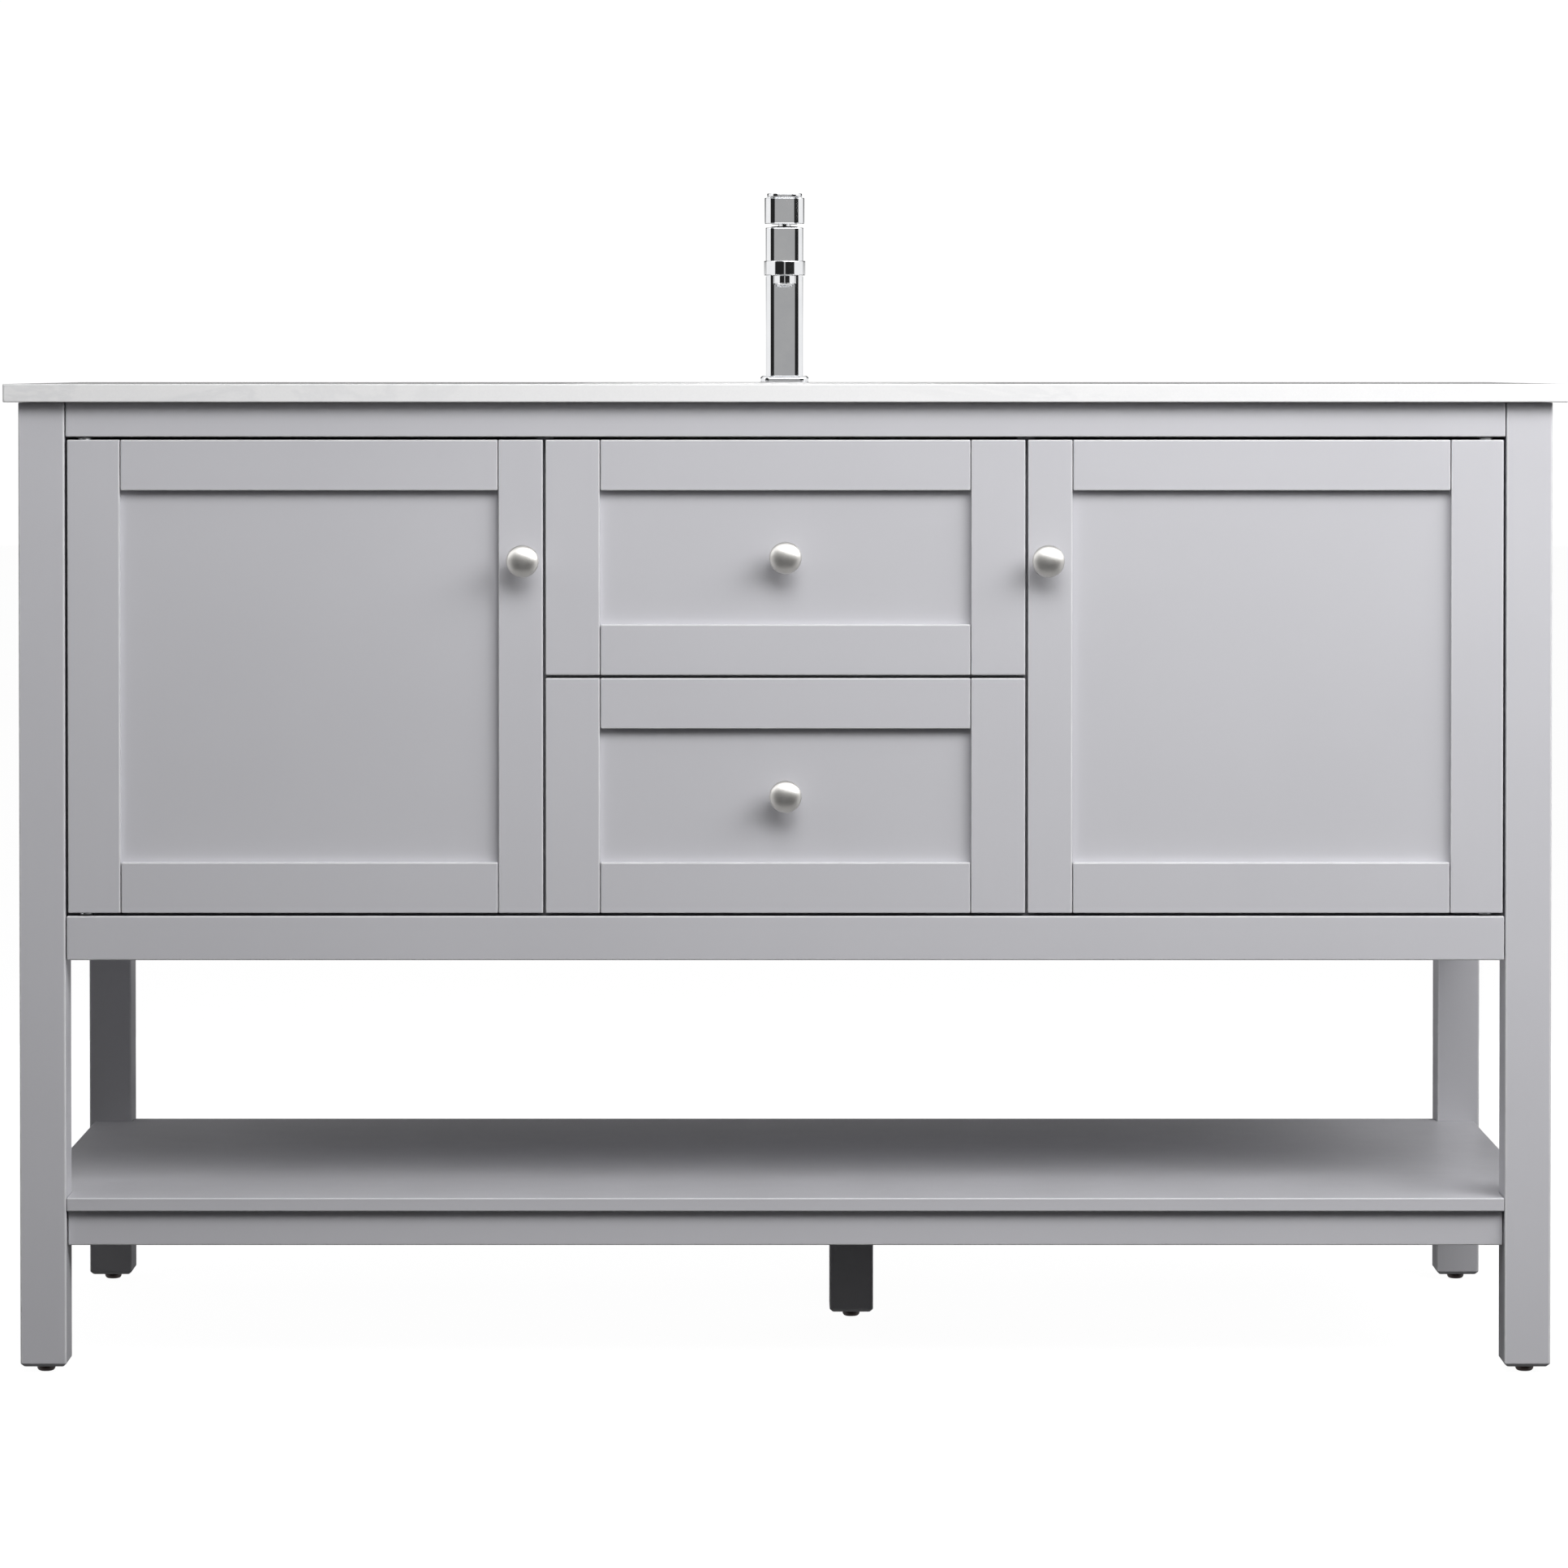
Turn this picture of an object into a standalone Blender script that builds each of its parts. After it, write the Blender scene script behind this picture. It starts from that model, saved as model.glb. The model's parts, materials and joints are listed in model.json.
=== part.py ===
"""Bathroom vanity cabinet: two inset doors, two drawers, an open shelf, a worktop, a sink and a tap.

Metres, +Z up, the front faces -Y and +X is to the right of someone who stands in front of it.
The origin is on the floor, in the middle of the object's box.
"""

import math

import bmesh
import bpy
from mathutils import Matrix, Vector

# ---------------------------------------------------------------- overall sizes
CABINET_WIDTH = 1.3474          # over the outer faces of the legs
CABINET_DEPTH = 0.5461          # front face of the front legs to back face of the rear legs
TOP_SURFACE_HEIGHT = 0.8720     # floor to the upper face of the worktop
GAP = 0.0003                    # air between two pieces that touch

# ---------------------------------------------------------------- worktop
TOP_THICKNESS = 0.0160
TOP_SIDE_OVERHANG = 0.0121
TOP_FRONT_OVERHANG = 0.0127
TOP_ARRIS = 0.0010

# ---------------------------------------------------------------- legs and glides
LEG_SIZE = 0.0405
LEG_ARRIS = 0.0008
LEG_FOOT_CHAMFER = 0.0030
GLIDE_HEIGHT = 0.0061
GLIDE_RADIUS = 0.0080
GLIDE_EDGE_RADIUS = 0.0030
CENTRE_LEG_X = 0.0620
CENTRE_LEG_SETBACK = 0.2880     # cabinet front to the front face of the centre leg

# ---------------------------------------------------------------- carcass
RAIL_THICKNESS = 0.0190
TOP_RAIL_HEIGHT = 0.0304
OPENING_HEIGHT = 0.4216
BOTTOM_RAIL_HEIGHT = 0.0388
SIDE_RECESS = 0.0060
SIDE_THICKNESS = 0.0150
FLOOR_THICKNESS = 0.0150
BACK_THICKNESS = 0.0060
REAR_RAIL_HEIGHT = 0.0760
PARTITION_THICKNESS = 0.0150
PARTITION_SETBACK = 0.0210      # cabinet front to the front edge of a partition
PIPE_OPENING_WIDTH = 0.3600
PIPE_OPENING_HEIGHT = 0.3000
PIPE_OPENING_LIFT = 0.0400      # cabinet floor to the lower edge of the opening for pipes

# ---------------------------------------------------------------- open shelf
SHELF_TOP_HEIGHT = 0.1555
SHELF_THICKNESS = 0.0120
SHELF_SIDE_RECESS = 0.0050
SHELF_REAR_LAP = 0.0190         # how far the shelf runs in between the rear legs
SHELF_RAIL_HEIGHT = 0.0304
SHELF_RAIL_THICKNESS = 0.0180
SHELF_RAIL_SETBACK = 0.0070

# ---------------------------------------------------------------- door and drawer fronts
SIDE_REVEAL = 0.0024
END_REVEAL = 0.0027
DRAWER_FRONT_WIDTH = 0.4214
FRONT_THICKNESS = 0.0190
FRONT_ARRIS = 0.0006
FRONT_RAIL_HEIGHT = 0.0445
HINGE_STILE_WIDTH = 0.0460
LATCH_STILE_WIDTH = 0.0390
DRAWER_STILE_WIDTH = 0.0475
PANEL_THICKNESS = 0.0060
PANEL_RECESS = 0.0080
GROOVE_DEPTH = 0.0080
PANEL_PLAY = 0.0010             # room between a panel's edge and the bottom of its groove

# ---------------------------------------------------------------- door pivots
PIVOT_INSET = 0.0150            # door's hinge edge to the pivot axis
PIVOT_SETBACK = 0.0080          # cabinet front to the pivot axis
PIN_RADIUS = 0.0025
PIN_REACH = 0.0090              # how far the pin goes into the rail
PIN_SHANK_RADIUS = 0.0040
PIN_SHANK_LENGTH = 0.0160
PIN_COLLAR_RADIUS = 0.0060
PIN_COLLAR_THICKNESS = 0.0007
SOCKET_RADIUS = 0.0045
SOCKET_FLANGE_RADIUS = 0.0070
SOCKET_FLANGE_THICKNESS = 0.0009
SOCKET_FLOOR = 0.0020

# ---------------------------------------------------------------- knobs
KNOB_RADIUS = 0.01425
KNOB_PROJECTION = 0.0280
KNOB_DOME_HEIGHT = 0.0062
KNOB_RIM_HEIGHT = 0.0022
KNOB_FOOT_RADIUS = 0.0070
KNOB_NECK_RADIUS = 0.0048
KNOB_UNDERCUT_RADIUS = 0.0130   # where the neck's flare meets the rim
KNOB_FLARE = 2.5                # how late the neck opens out, as a power
KNOB_SCREW_RADIUS = 0.0020
KNOB_SCREW_HEAD_RADIUS = 0.0042
KNOB_SCREW_HEAD_HEIGHT = 0.0020
DOOR_KNOB_DROP = 0.1060         # top edge of a door to its knob
DOOR_KNOB_INSET = 0.0170        # latch edge of a door to its knob

# ---------------------------------------------------------------- drawers
DRAWER_WALL = 0.0120
DRAWER_FLOOR = 0.0090
DRAWER_LIFT = 0.0120            # lower edge of the front to the underside of the box
DRAWER_REAR_CLEARANCE = 0.0520
LOWER_BOX_HEIGHT = 0.1200
PIPE_NOTCH_HALF_WIDTH = 0.0650
SLIDE_SPACE = 0.0127            # between the box and the partition, on each side
SLIDE_SETBACK = 0.0220
RUNNER_HEIGHT = 0.0360
RUNNER_DEPTH = 0.0095
RUNNER_WALL = 0.0015
RUNNER_LIFT = 0.0150            # underside of the box to the lower edge of the runner
SLIDE_PLAY = 0.0007

# ---------------------------------------------------------------- sink and drain
BOWL_WIDTH = 0.4200
BOWL_FRONT_MARGIN = 0.0950      # cabinet front to the front edge of the cut-out
BOWL_REAR_MARGIN = 0.1311       # rear edge of the cut-out to the cabinet back
BOWL_DEPTH = 0.1400
BOWL_WALL = 0.0090
BOWL_LIP = 0.0030               # how far the bowl starts outside the cut-out's edge
BOWL_FLANGE_WIDTH = 0.0220
BOWL_FLANGE_THICKNESS = 0.0080
BOWL_FLOOR_RADIUS = 0.0400
BOWL_CLEARANCE = 0.0085         # free height between the bowl and the upper drawer
NOTCH_CLEARANCE = 0.0120        # free space round the bowl in the partitions
DRAIN_RADIUS = 0.0225
DRAIN_FLANGE_RADIUS = 0.0310
DRAIN_FLANGE_THICKNESS = 0.0022
DRAIN_BORE_RADIUS = 0.0180
DRAIN_BODY_LENGTH = 0.0600
DRAIN_NECK_LENGTH = 0.0180      # length over which the bore is already the tail's
TAIL_RADIUS = 0.0160
TAIL_BORE_RADIUS = 0.0140
TAIL_LENGTH = 0.0500
STOPPER_RADIUS = 0.0215
STOPPER_SKIRT_RADIUS = 0.0172
STOPPER_SKIRT_LENGTH = 0.0240
STOPPER_CAP_HEIGHT = 0.0050

# ---------------------------------------------------------------- tap
TAP_SETBACK = 0.0761            # tap's axis to the cabinet back
TAP_PLATE_SIZE = 0.0460
TAP_PLATE_THICKNESS = 0.0060
TAP_COLUMN_SIZE = 0.0360
TAP_COLUMN_HEIGHT = 0.1480
TAP_CORNER_RADIUS = 0.0065
SPOUT_WIDTH = 0.0390
SPOUT_HEIGHT = 0.0136
SPOUT_LIFT = 0.1008             # worktop to the underside of the spout
SPOUT_REACH = 0.1180            # tap's axis to the tip of the spout
TAP_SHANK_RADIUS = 0.0150
TAP_SHANK_LENGTH = 0.0550
TAP_HOLE_RADIUS = 0.0175
AERATOR_RADIUS = 0.0106
AERATOR_HEIGHT = 0.0085
AERATOR_WALL = 0.0020
AERATOR_EDGE = 0.0010
AERATOR_SCREEN_DROP = 0.0050    # underside of the spout to the screen in the ring
AERATOR_INSET = 0.0170          # tip of the spout to the aerator's axis
STEM_DOME_RADIUS = 0.0135
STEM_DOME_CROWN_RADIUS = 0.0124
STEM_DOME_EDGE_HEIGHT = 0.0012
STEM_NECK_RADIUS = 0.0060
STEM_DOME_HEIGHT = 0.0018
STEM_HEIGHT = 0.0110
HANDLE_SIZE = 0.0380
HANDLE_HEIGHT = 0.0248
HANDLE_LIFT = 0.0037            # free height between the column and the handle
HANDLE_POCKET_SIZE = 0.0240
HANDLE_POCKET_HEIGHT = 0.0150
LEVER_WIDTH = 0.0330
LEVER_THICKNESS = 0.0032
LEVER_OVERHANG = 0.0460         # how far the lever plate runs out in front of the handle
TILT_SETBACK = 0.0100           # tap's axis to the axis that the handle tilts on
TILT_LIFT = 0.0020              # underside of the handle to that axis

# ---------------------------------------------------------------- facets
CIRCLE_STEPS = 20
KNOB_STEPS = 20
OVAL_STEPS = 40
CORNER_STEPS = 4
DOME_STEPS = 4
EDGE_STEPS = 3
KNOB_NECK_STEPS = 5
BOWL_STEPS = 7

# ---------------------------------------------------------------- places worked out from the sizes
HALF_WIDTH = CABINET_WIDTH / 2
FRONT_Y = (KNOB_PROJECTION - CABINET_DEPTH) / 2
REAR_LEG_SETBACK = CABINET_DEPTH - LEG_SIZE
LEG_INNER_X = HALF_WIDTH - LEG_SIZE
RAIL_END_X = LEG_INNER_X - GAP
TOP_UNDERSIDE = TOP_SURFACE_HEIGHT - TOP_THICKNESS
CARCASS_TOP = TOP_UNDERSIDE - GAP
OPENING_TOP = TOP_UNDERSIDE - TOP_RAIL_HEIGHT
OPENING_BOTTOM = OPENING_TOP - OPENING_HEIGHT
CARCASS_BOTTOM = OPENING_BOTTOM - BOTTOM_RAIL_HEIGHT
BACK_PANEL_FRONT = CABINET_DEPTH - BACK_THICKNESS
REAR_RAIL_BACK = BACK_PANEL_FRONT - GAP
REAR_RAIL_FRONT = REAR_RAIL_BACK - RAIL_THICKNESS
SHELF_UNDERSIDE = SHELF_TOP_HEIGHT - SHELF_THICKNESS

PARTITION_X = DRAWER_FRONT_WIDTH / 2 + SIDE_REVEAL / 2
BAY_HALF_WIDTH = PARTITION_X - PARTITION_THICKNESS / 2
DOOR_WIDTH = LEG_INNER_X - DRAWER_FRONT_WIDTH / 2 - 2 * SIDE_REVEAL
FRONT_BOTTOM = OPENING_BOTTOM + END_REVEAL
FRONT_TOP = OPENING_TOP - END_REVEAL
DRAWER_FRONT_HEIGHT = (FRONT_TOP - FRONT_BOTTOM - END_REVEAL) / 2
DOOR_EDGE_X = LEG_INNER_X - SIDE_REVEAL
PIVOT_X = DOOR_EDGE_X - PIVOT_INSET

BOWL_LENGTH = CABINET_DEPTH - BOWL_FRONT_MARGIN - BOWL_REAR_MARGIN
BOWL_CENTRE = BOWL_FRONT_MARGIN + BOWL_LENGTH / 2
BOWL_FLOOR_HEIGHT = CARCASS_TOP - BOWL_DEPTH
BOWL_UNDERSIDE = BOWL_FLOOR_HEIGHT - BOWL_WALL
DRAIN_HOLE_RADIUS = DRAIN_RADIUS + 2 * GAP

BOX_FRONT = FRONT_THICKNESS + GAP
BOX_BACK = REAR_RAIL_FRONT - DRAWER_REAR_CLEARANCE
BOX_HALF_WIDTH = BAY_HALF_WIDTH - SLIDE_SPACE

TAP_CENTRE = CABINET_DEPTH - TAP_SETBACK
TAP_BASE = TOP_SURFACE_HEIGHT + GAP
HANDLE_BASE = TAP_BASE + TAP_COLUMN_HEIGHT + HANDLE_LIFT


# ---------------------------------------------------------------- finishes
FINISHES = {
    # name: (colour, roughness, metallic)
    "grey_paint": ((0.52, 0.52, 0.54), 0.38, 0.0),
    "white_stone": ((0.90, 0.90, 0.91), 0.18, 0.0),
    "glazed_ceramic": ((0.93, 0.93, 0.92), 0.10, 0.0),
    "chrome": ((0.82, 0.83, 0.85), 0.05, 1.0),
    "satin_nickel": ((0.66, 0.64, 0.61), 0.30, 1.0),
    "zinc_plate": ((0.60, 0.61, 0.62), 0.35, 1.0),
    "dark_nylon": ((0.05, 0.03, 0.03), 0.55, 0.0),
    "birch_ply": ((0.68, 0.52, 0.34), 0.50, 0.0),
    "black_nylon": ((0.03, 0.03, 0.03), 0.45, 0.0),
}


def finish(name):
    """The material of that name, made the first time it is asked for."""
    material = bpy.data.materials.get(name)
    if material is None:
        colour, roughness, metallic = FINISHES[name]
        material = bpy.data.materials.new(name)
        material.use_nodes = True
        shader = material.node_tree.nodes["Principled BSDF"]
        shader.inputs["Base Color"].default_value = (*colour, 1.0)
        shader.inputs["Roughness"].default_value = roughness
        shader.inputs["Metallic"].default_value = metallic
    return material


# ---------------------------------------------------------------- shapes
def at(x, setback, z):
    """Point at x, that far behind the cabinet's front face, at height z."""
    return Vector((x, FRONT_Y + setback, z))


def loft(rings, closed=False):
    """Skin over rings of equal point counts, with end caps, or joined last to first if closed."""
    mesh = bmesh.new()
    rows = [[mesh.verts.new(point) for point in ring] for ring in rings]
    if closed:
        rows.append(rows[0])
    for lower, upper in zip(rows, rows[1:]):
        for i in range(len(lower)):
            j = (i + 1) % len(lower)
            mesh.faces.new((lower[i], lower[j], upper[j], upper[i]))
    if not closed:
        mesh.faces.new(rows[0])
        mesh.faces.new(rows[-1])
    bmesh.ops.recalc_face_normals(mesh, faces=mesh.faces)
    return mesh


def rectangle(x0, x1, setback0, setback1):
    return [(x0, setback0), (x1, setback0), (x1, setback1), (x0, setback1)]


def trimmed_square(size, arris, centre_x, centre_setback):
    """Outline of a square with its corners cut off."""
    h = size / 2
    k = h - arris
    corners = [(-k, -h), (k, -h), (h, -k), (h, k), (k, h), (-k, h), (-h, k), (-h, -k)]
    return [(centre_x + u, centre_setback + v) for u, v in corners]


def rounded_rectangle(width, length, radius, centre_x, centre_setback):
    """Outline of a rectangle with round corners."""
    points = []
    for quarter, (sx, sy) in enumerate([(1, 1), (-1, 1), (-1, -1), (1, -1)]):
        for step in range(CORNER_STEPS + 1):
            angle = (quarter + step / CORNER_STEPS) * math.pi / 2
            u = sx * (width / 2 - radius) + radius * math.cos(angle)
            v = sy * (length / 2 - radius) + radius * math.sin(angle)
            points.append((centre_x + u, centre_setback + v))
    return points


def oval(half_width, half_length, centre_x, centre_setback, steps):
    turns = [2 * math.pi * step / steps for step in range(steps)]
    return [
        (centre_x + half_width * math.cos(turn), centre_setback + half_length * math.sin(turn))
        for turn in turns
    ]


def level(outline, z):
    """An outline laid out at height z."""
    return [at(x, setback, z) for x, setback in outline]


def prism(outline, low, high):
    """Outline in plan, carried up from low to high."""
    return loft([level(outline, low), level(outline, high)])


def block(x0, x1, setback0, setback1, low, high):
    return prism(rectangle(x0, x1, setback0, setback1), low, high)


def sideways_prism(outline, x0, x1):
    """Outline of (setback, z) points, carried from x0 to x1."""
    return loft([[at(x, setback, z) for setback, z in outline] for x in (x0, x1)])


def endways_prism(outline, setback0, setback1):
    """Outline of (x, z) points, carried from front to back."""
    return loft([[at(x, setback, z) for x, z in outline] for setback in (setback0, setback1)])


def turned(profile, centre, direction, steps, closed=False):
    """Profile of (radius, distance along direction) points, turned about its axis."""
    turn = Vector((0, 0, 1)).rotation_difference(Vector(direction)).to_matrix().to_4x4()
    place = Matrix.Translation(centre) @ turn
    rings = []
    for radius, distance in profile:
        circle = oval(radius, radius, 0, 0, steps)
        rings.append([place @ Vector((u, v, distance)) for u, v in circle])
    return loft(rings, closed)


def tray(outline, wall, low, floor, high):
    """Open box over an outline that runs anticlockwise, with walls all round."""
    inner = inset(outline, wall)
    return loft([level(outline, low), level(outline, high), level(inner, high), level(inner, floor)])


def inset(outline, distance):
    """Anticlockwise outline of square corners, moved inwards by a distance."""
    count = len(outline)
    moved = []
    for i, (x, y) in enumerate(outline):
        before = Vector((x, y)) - Vector(outline[i - 1])
        after = Vector(outline[(i + 1) % count]) - Vector((x, y))
        before.normalize()
        after.normalize()
        shift = distance * (Vector((-before.y, before.x)) + Vector((-after.y, after.x)))
        moved.append((x + shift.x, y + shift.y))
    return moved


# ---------------------------------------------------------------- objects
def add(name, mesh, finish_name, axis=None, smooth=False):
    """Object from a mesh in place; with an axis it is parented to that empty."""
    if axis is not None:
        bmesh.ops.translate(mesh, verts=mesh.verts, vec=-axis.location)
    data = bpy.data.meshes.new(name)
    mesh.to_mesh(data)
    mesh.free()
    data.materials.append(finish(finish_name))
    if smooth:
        data.shade_smooth()
        data.set_sharp_from_angle(angle=math.radians(35))
    piece = bpy.data.objects.new(name, data)
    bpy.context.scene.collection.objects.link(piece)
    piece.parent = axis
    return piece


def joint_axis(name, point):
    """Empty on a joint's axis, which carries the pieces that move with it."""
    empty = bpy.data.objects.new(name, None)
    empty.location = point
    bpy.context.scene.collection.objects.link(empty)
    return empty


def combine(piece, mesh, operation, label):
    """Cut a shape out of a piece, or join it on, with an exact Boolean."""
    tool = add(f"{piece.name}_{label}", mesh, "grey_paint")
    tool.parent = piece.parent
    if piece.parent is not None:
        tool.data.transform(Matrix.Translation(-piece.parent.location))
    tool.hide_render = True
    tool.display_type = "WIRE"
    modifier = piece.modifiers.new(label, "BOOLEAN")
    modifier.operation = operation
    modifier.solver = "EXACT"
    modifier.object = tool


# ---------------------------------------------------------------- legs, glides and carcass
def leg(name, centre_x, centre_setback, top):
    foot = trimmed_square(LEG_SIZE - 2 * LEG_FOOT_CHAMFER, LEG_ARRIS, centre_x, centre_setback)
    body = trimmed_square(LEG_SIZE, LEG_ARRIS, centre_x, centre_setback)
    rings = [
        level(foot, GLIDE_HEIGHT),
        level(body, GLIDE_HEIGHT + LEG_FOOT_CHAMFER),
        level(body, top),
    ]
    add(f"leg_{name}", loft(rings), "grey_paint")
    glide(name, centre_x, centre_setback)


def glide(name, centre_x, centre_setback):
    """Round nail-on foot with a domed edge."""
    edge = GLIDE_EDGE_RADIUS
    turns = [step / EDGE_STEPS * math.pi / 2 for step in range(EDGE_STEPS + 1)]
    profile = [
        (GLIDE_RADIUS - edge + edge * math.sin(turn), edge - edge * math.cos(turn)) for turn in turns
    ]
    profile.append((GLIDE_RADIUS, GLIDE_HEIGHT - GAP))
    mesh = turned(profile, at(centre_x, centre_setback, 0), (0, 0, 1), CIRCLE_STEPS)
    add(f"glide_{name}", mesh, "dark_nylon", smooth=True)


def legs():
    corner_x = HALF_WIDTH - LEG_SIZE / 2
    for row, setback in (("front", LEG_SIZE / 2), ("rear", CABINET_DEPTH - LEG_SIZE / 2)):
        for side, sign in (("left", -1), ("right", 1)):
            leg(f"{row}_{side}", sign * corner_x, setback, CARCASS_TOP)
    leg("centre", CENTRE_LEG_X, CENTRE_LEG_SETBACK + LEG_SIZE / 2, SHELF_UNDERSIDE - GAP)


def between_legs(side_x, front, back):
    """Plan of a board that is notched round the four corner legs."""
    first = LEG_SIZE + GAP
    last = REAR_LEG_SETBACK - GAP
    right = [(RAIL_END_X, front), (RAIL_END_X, first), (side_x, first),
             (side_x, last), (RAIL_END_X, last), (RAIL_END_X, back)]
    left = [(-x, setback) for x, setback in reversed(right)]
    return right + left


def front_rails():
    top = block(-RAIL_END_X, RAIL_END_X, 0, RAIL_THICKNESS, OPENING_TOP, CARCASS_TOP)
    bottom = block(-RAIL_END_X, RAIL_END_X, 0, RAIL_THICKNESS, CARCASS_BOTTOM, OPENING_BOTTOM)
    top_rail = add("top_rail_front", top, "grey_paint")
    bottom_rail = add("bottom_rail_front", bottom, "grey_paint")
    for side, sign in (("left", -1), ("right", 1)):
        for rail, face, into in ((top_rail, OPENING_TOP, 1), (bottom_rail, OPENING_BOTTOM, -1)):
            depth = PIN_REACH + SOCKET_FLOOR + 2 * GAP
            profile = [(SOCKET_RADIUS + GAP, -GAP), (SOCKET_RADIUS + GAP, depth + GAP)]
            centre = at(sign * PIVOT_X, PIVOT_SETBACK, face)
            combine(rail, turned(profile, centre, (0, 0, into), CIRCLE_STEPS), "DIFFERENCE", side)


def carcass():
    outer = HALF_WIDTH - SIDE_RECESS
    inner = outer - SIDE_THICKNESS
    for side, sign in (("left", -1), ("right", 1)):
        mesh = block(sign * inner, sign * outer, LEG_SIZE + GAP, REAR_LEG_SETBACK - GAP,
                     CARCASS_BOTTOM, CARCASS_TOP)
        add(f"side_panel_{side}", mesh, "grey_paint")
    floor = between_legs(inner - GAP, RAIL_THICKNESS + GAP, BACK_PANEL_FRONT - GAP)
    add("cabinet_floor", prism(floor, OPENING_BOTTOM - FLOOR_THICKNESS, OPENING_BOTTOM), "grey_paint")
    rail = block(-RAIL_END_X, RAIL_END_X, REAR_RAIL_FRONT, REAR_RAIL_BACK,
                 CARCASS_TOP - REAR_RAIL_HEIGHT, CARCASS_TOP)
    add("top_rail_rear", rail, "grey_paint")
    back_panel()
    partitions()


def upright_ring(x0, x1, low, high, setback):
    """Rectangle standing up, facing the front."""
    return [at(x0, setback, low), at(x1, setback, low), at(x1, setback, high), at(x0, setback, high)]


def back_panel():
    """Thin back with a way through for the pipes."""
    low = OPENING_BOTTOM + PIPE_OPENING_LIFT
    half = PIPE_OPENING_WIDTH / 2
    edge = (-RAIL_END_X, RAIL_END_X, OPENING_BOTTOM - FLOOR_THICKNESS, CARCASS_TOP)
    hole = (-half, half, low, low + PIPE_OPENING_HEIGHT)
    faces = [
        (edge, BACK_PANEL_FRONT), (hole, BACK_PANEL_FRONT), (hole, CABINET_DEPTH), (edge, CABINET_DEPTH),
    ]
    add("back_panel", loft([upright_ring(*ring, y) for ring, y in faces], closed=True), "grey_paint")


def partitions():
    """Uprights beside the drawers, cut down under the bowl and behind for the rear rail."""
    reach = BOWL_LIP + BOWL_FLANGE_WIDTH + NOTCH_CLEARANCE
    notch_front = BOWL_FRONT_MARGIN - reach
    notch_back = BOWL_FRONT_MARGIN + BOWL_LENGTH + reach
    notch_floor = CARCASS_TOP - bowl_drop_at(BAY_HALF_WIDTH - NOTCH_CLEARANCE)
    bottom = OPENING_BOTTOM + GAP
    under_rail = CARCASS_TOP - REAR_RAIL_HEIGHT - GAP
    outline = [
        (PARTITION_SETBACK, bottom), (REAR_RAIL_BACK, bottom), (REAR_RAIL_BACK, under_rail),
        (REAR_RAIL_FRONT - GAP, under_rail), (REAR_RAIL_FRONT - GAP, CARCASS_TOP),
        (notch_back, CARCASS_TOP), (notch_back, notch_floor), (notch_front, notch_floor),
        (notch_front, CARCASS_TOP), (PARTITION_SETBACK, CARCASS_TOP),
    ]
    for side, sign in (("left", -1), ("right", 1)):
        near = sign * BAY_HALF_WIDTH
        far = sign * (BAY_HALF_WIDTH + PARTITION_THICKNESS)
        add(f"partition_{side}", sideways_prism(outline, near, far), "grey_paint")


def open_shelf():
    back = REAR_LEG_SETBACK + SHELF_REAR_LAP
    board = between_legs(HALF_WIDTH - SHELF_SIDE_RECESS, 0, back)
    add("shelf", prism(board, SHELF_UNDERSIDE, SHELF_TOP_HEIGHT), "grey_paint")
    high = SHELF_UNDERSIDE - GAP
    low = high - SHELF_RAIL_HEIGHT
    for name, front in (("front", SHELF_RAIL_SETBACK), ("rear", back - SHELF_RAIL_THICKNESS)):
        mesh = block(-RAIL_END_X, RAIL_END_X, front, front + SHELF_RAIL_THICKNESS, low, high)
        add(f"shelf_rail_{name}", mesh, "grey_paint")


# ---------------------------------------------------------------- worktop, sink and drain
def countertop():
    half = HALF_WIDTH + TOP_SIDE_OVERHANG
    full = rectangle(-half, half, -TOP_FRONT_OVERHANG, CABINET_DEPTH)
    small = inset(full, TOP_ARRIS)
    rings = [
        level(small, TOP_UNDERSIDE), level(full, TOP_UNDERSIDE + TOP_ARRIS),
        level(full, TOP_SURFACE_HEIGHT - TOP_ARRIS), level(small, TOP_SURFACE_HEIGHT),
    ]
    slab = add("countertop", loft(rings), "white_stone")
    over = TOP_SURFACE_HEIGHT + TOP_THICKNESS
    under = TOP_UNDERSIDE - TOP_THICKNESS
    cut_out = oval(BOWL_WIDTH / 2, BOWL_LENGTH / 2, 0, BOWL_CENTRE, OVAL_STEPS)
    combine(slab, prism(cut_out, under, over), "DIFFERENCE", "sink_cut_out")
    tap_hole = oval(TAP_HOLE_RADIUS, TAP_HOLE_RADIUS, 0, TAP_CENTRE, CIRCLE_STEPS)
    combine(slab, prism(tap_hole, under, over), "DIFFERENCE", "tap_hole")


def bowl_drop_at(x):
    """How far below the worktop the outside of the bowl is, where it is as wide as x."""
    reach = BOWL_WIDTH / 2 + BOWL_LIP - BOWL_FLOOR_RADIUS + BOWL_WALL
    out = min(1.0, (x - BOWL_FLOOR_RADIUS) / reach)
    return max(BOWL_FLANGE_THICKNESS + GAP, (BOWL_DEPTH + BOWL_WALL) * math.sqrt(1 - out * out))


def bowl_wall(outset):
    """Rings from the floor of the bowl up to its rim, moved outwards by outset."""
    rim_x = BOWL_WIDTH / 2 + BOWL_LIP
    rim_y = BOWL_LENGTH / 2 + BOWL_LIP
    rings = []
    for step in range(BOWL_STEPS + 1):
        turn = step / BOWL_STEPS * math.pi / 2
        out = math.sin(turn)
        half_x = BOWL_FLOOR_RADIUS + (rim_x - BOWL_FLOOR_RADIUS) * out + outset * out
        half_y = BOWL_FLOOR_RADIUS + (rim_y - BOWL_FLOOR_RADIUS) * out + outset * out
        drop = (BOWL_DEPTH + outset) * math.cos(turn)
        rings.append((half_x, half_y, CARCASS_TOP - drop))
    return rings


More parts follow.
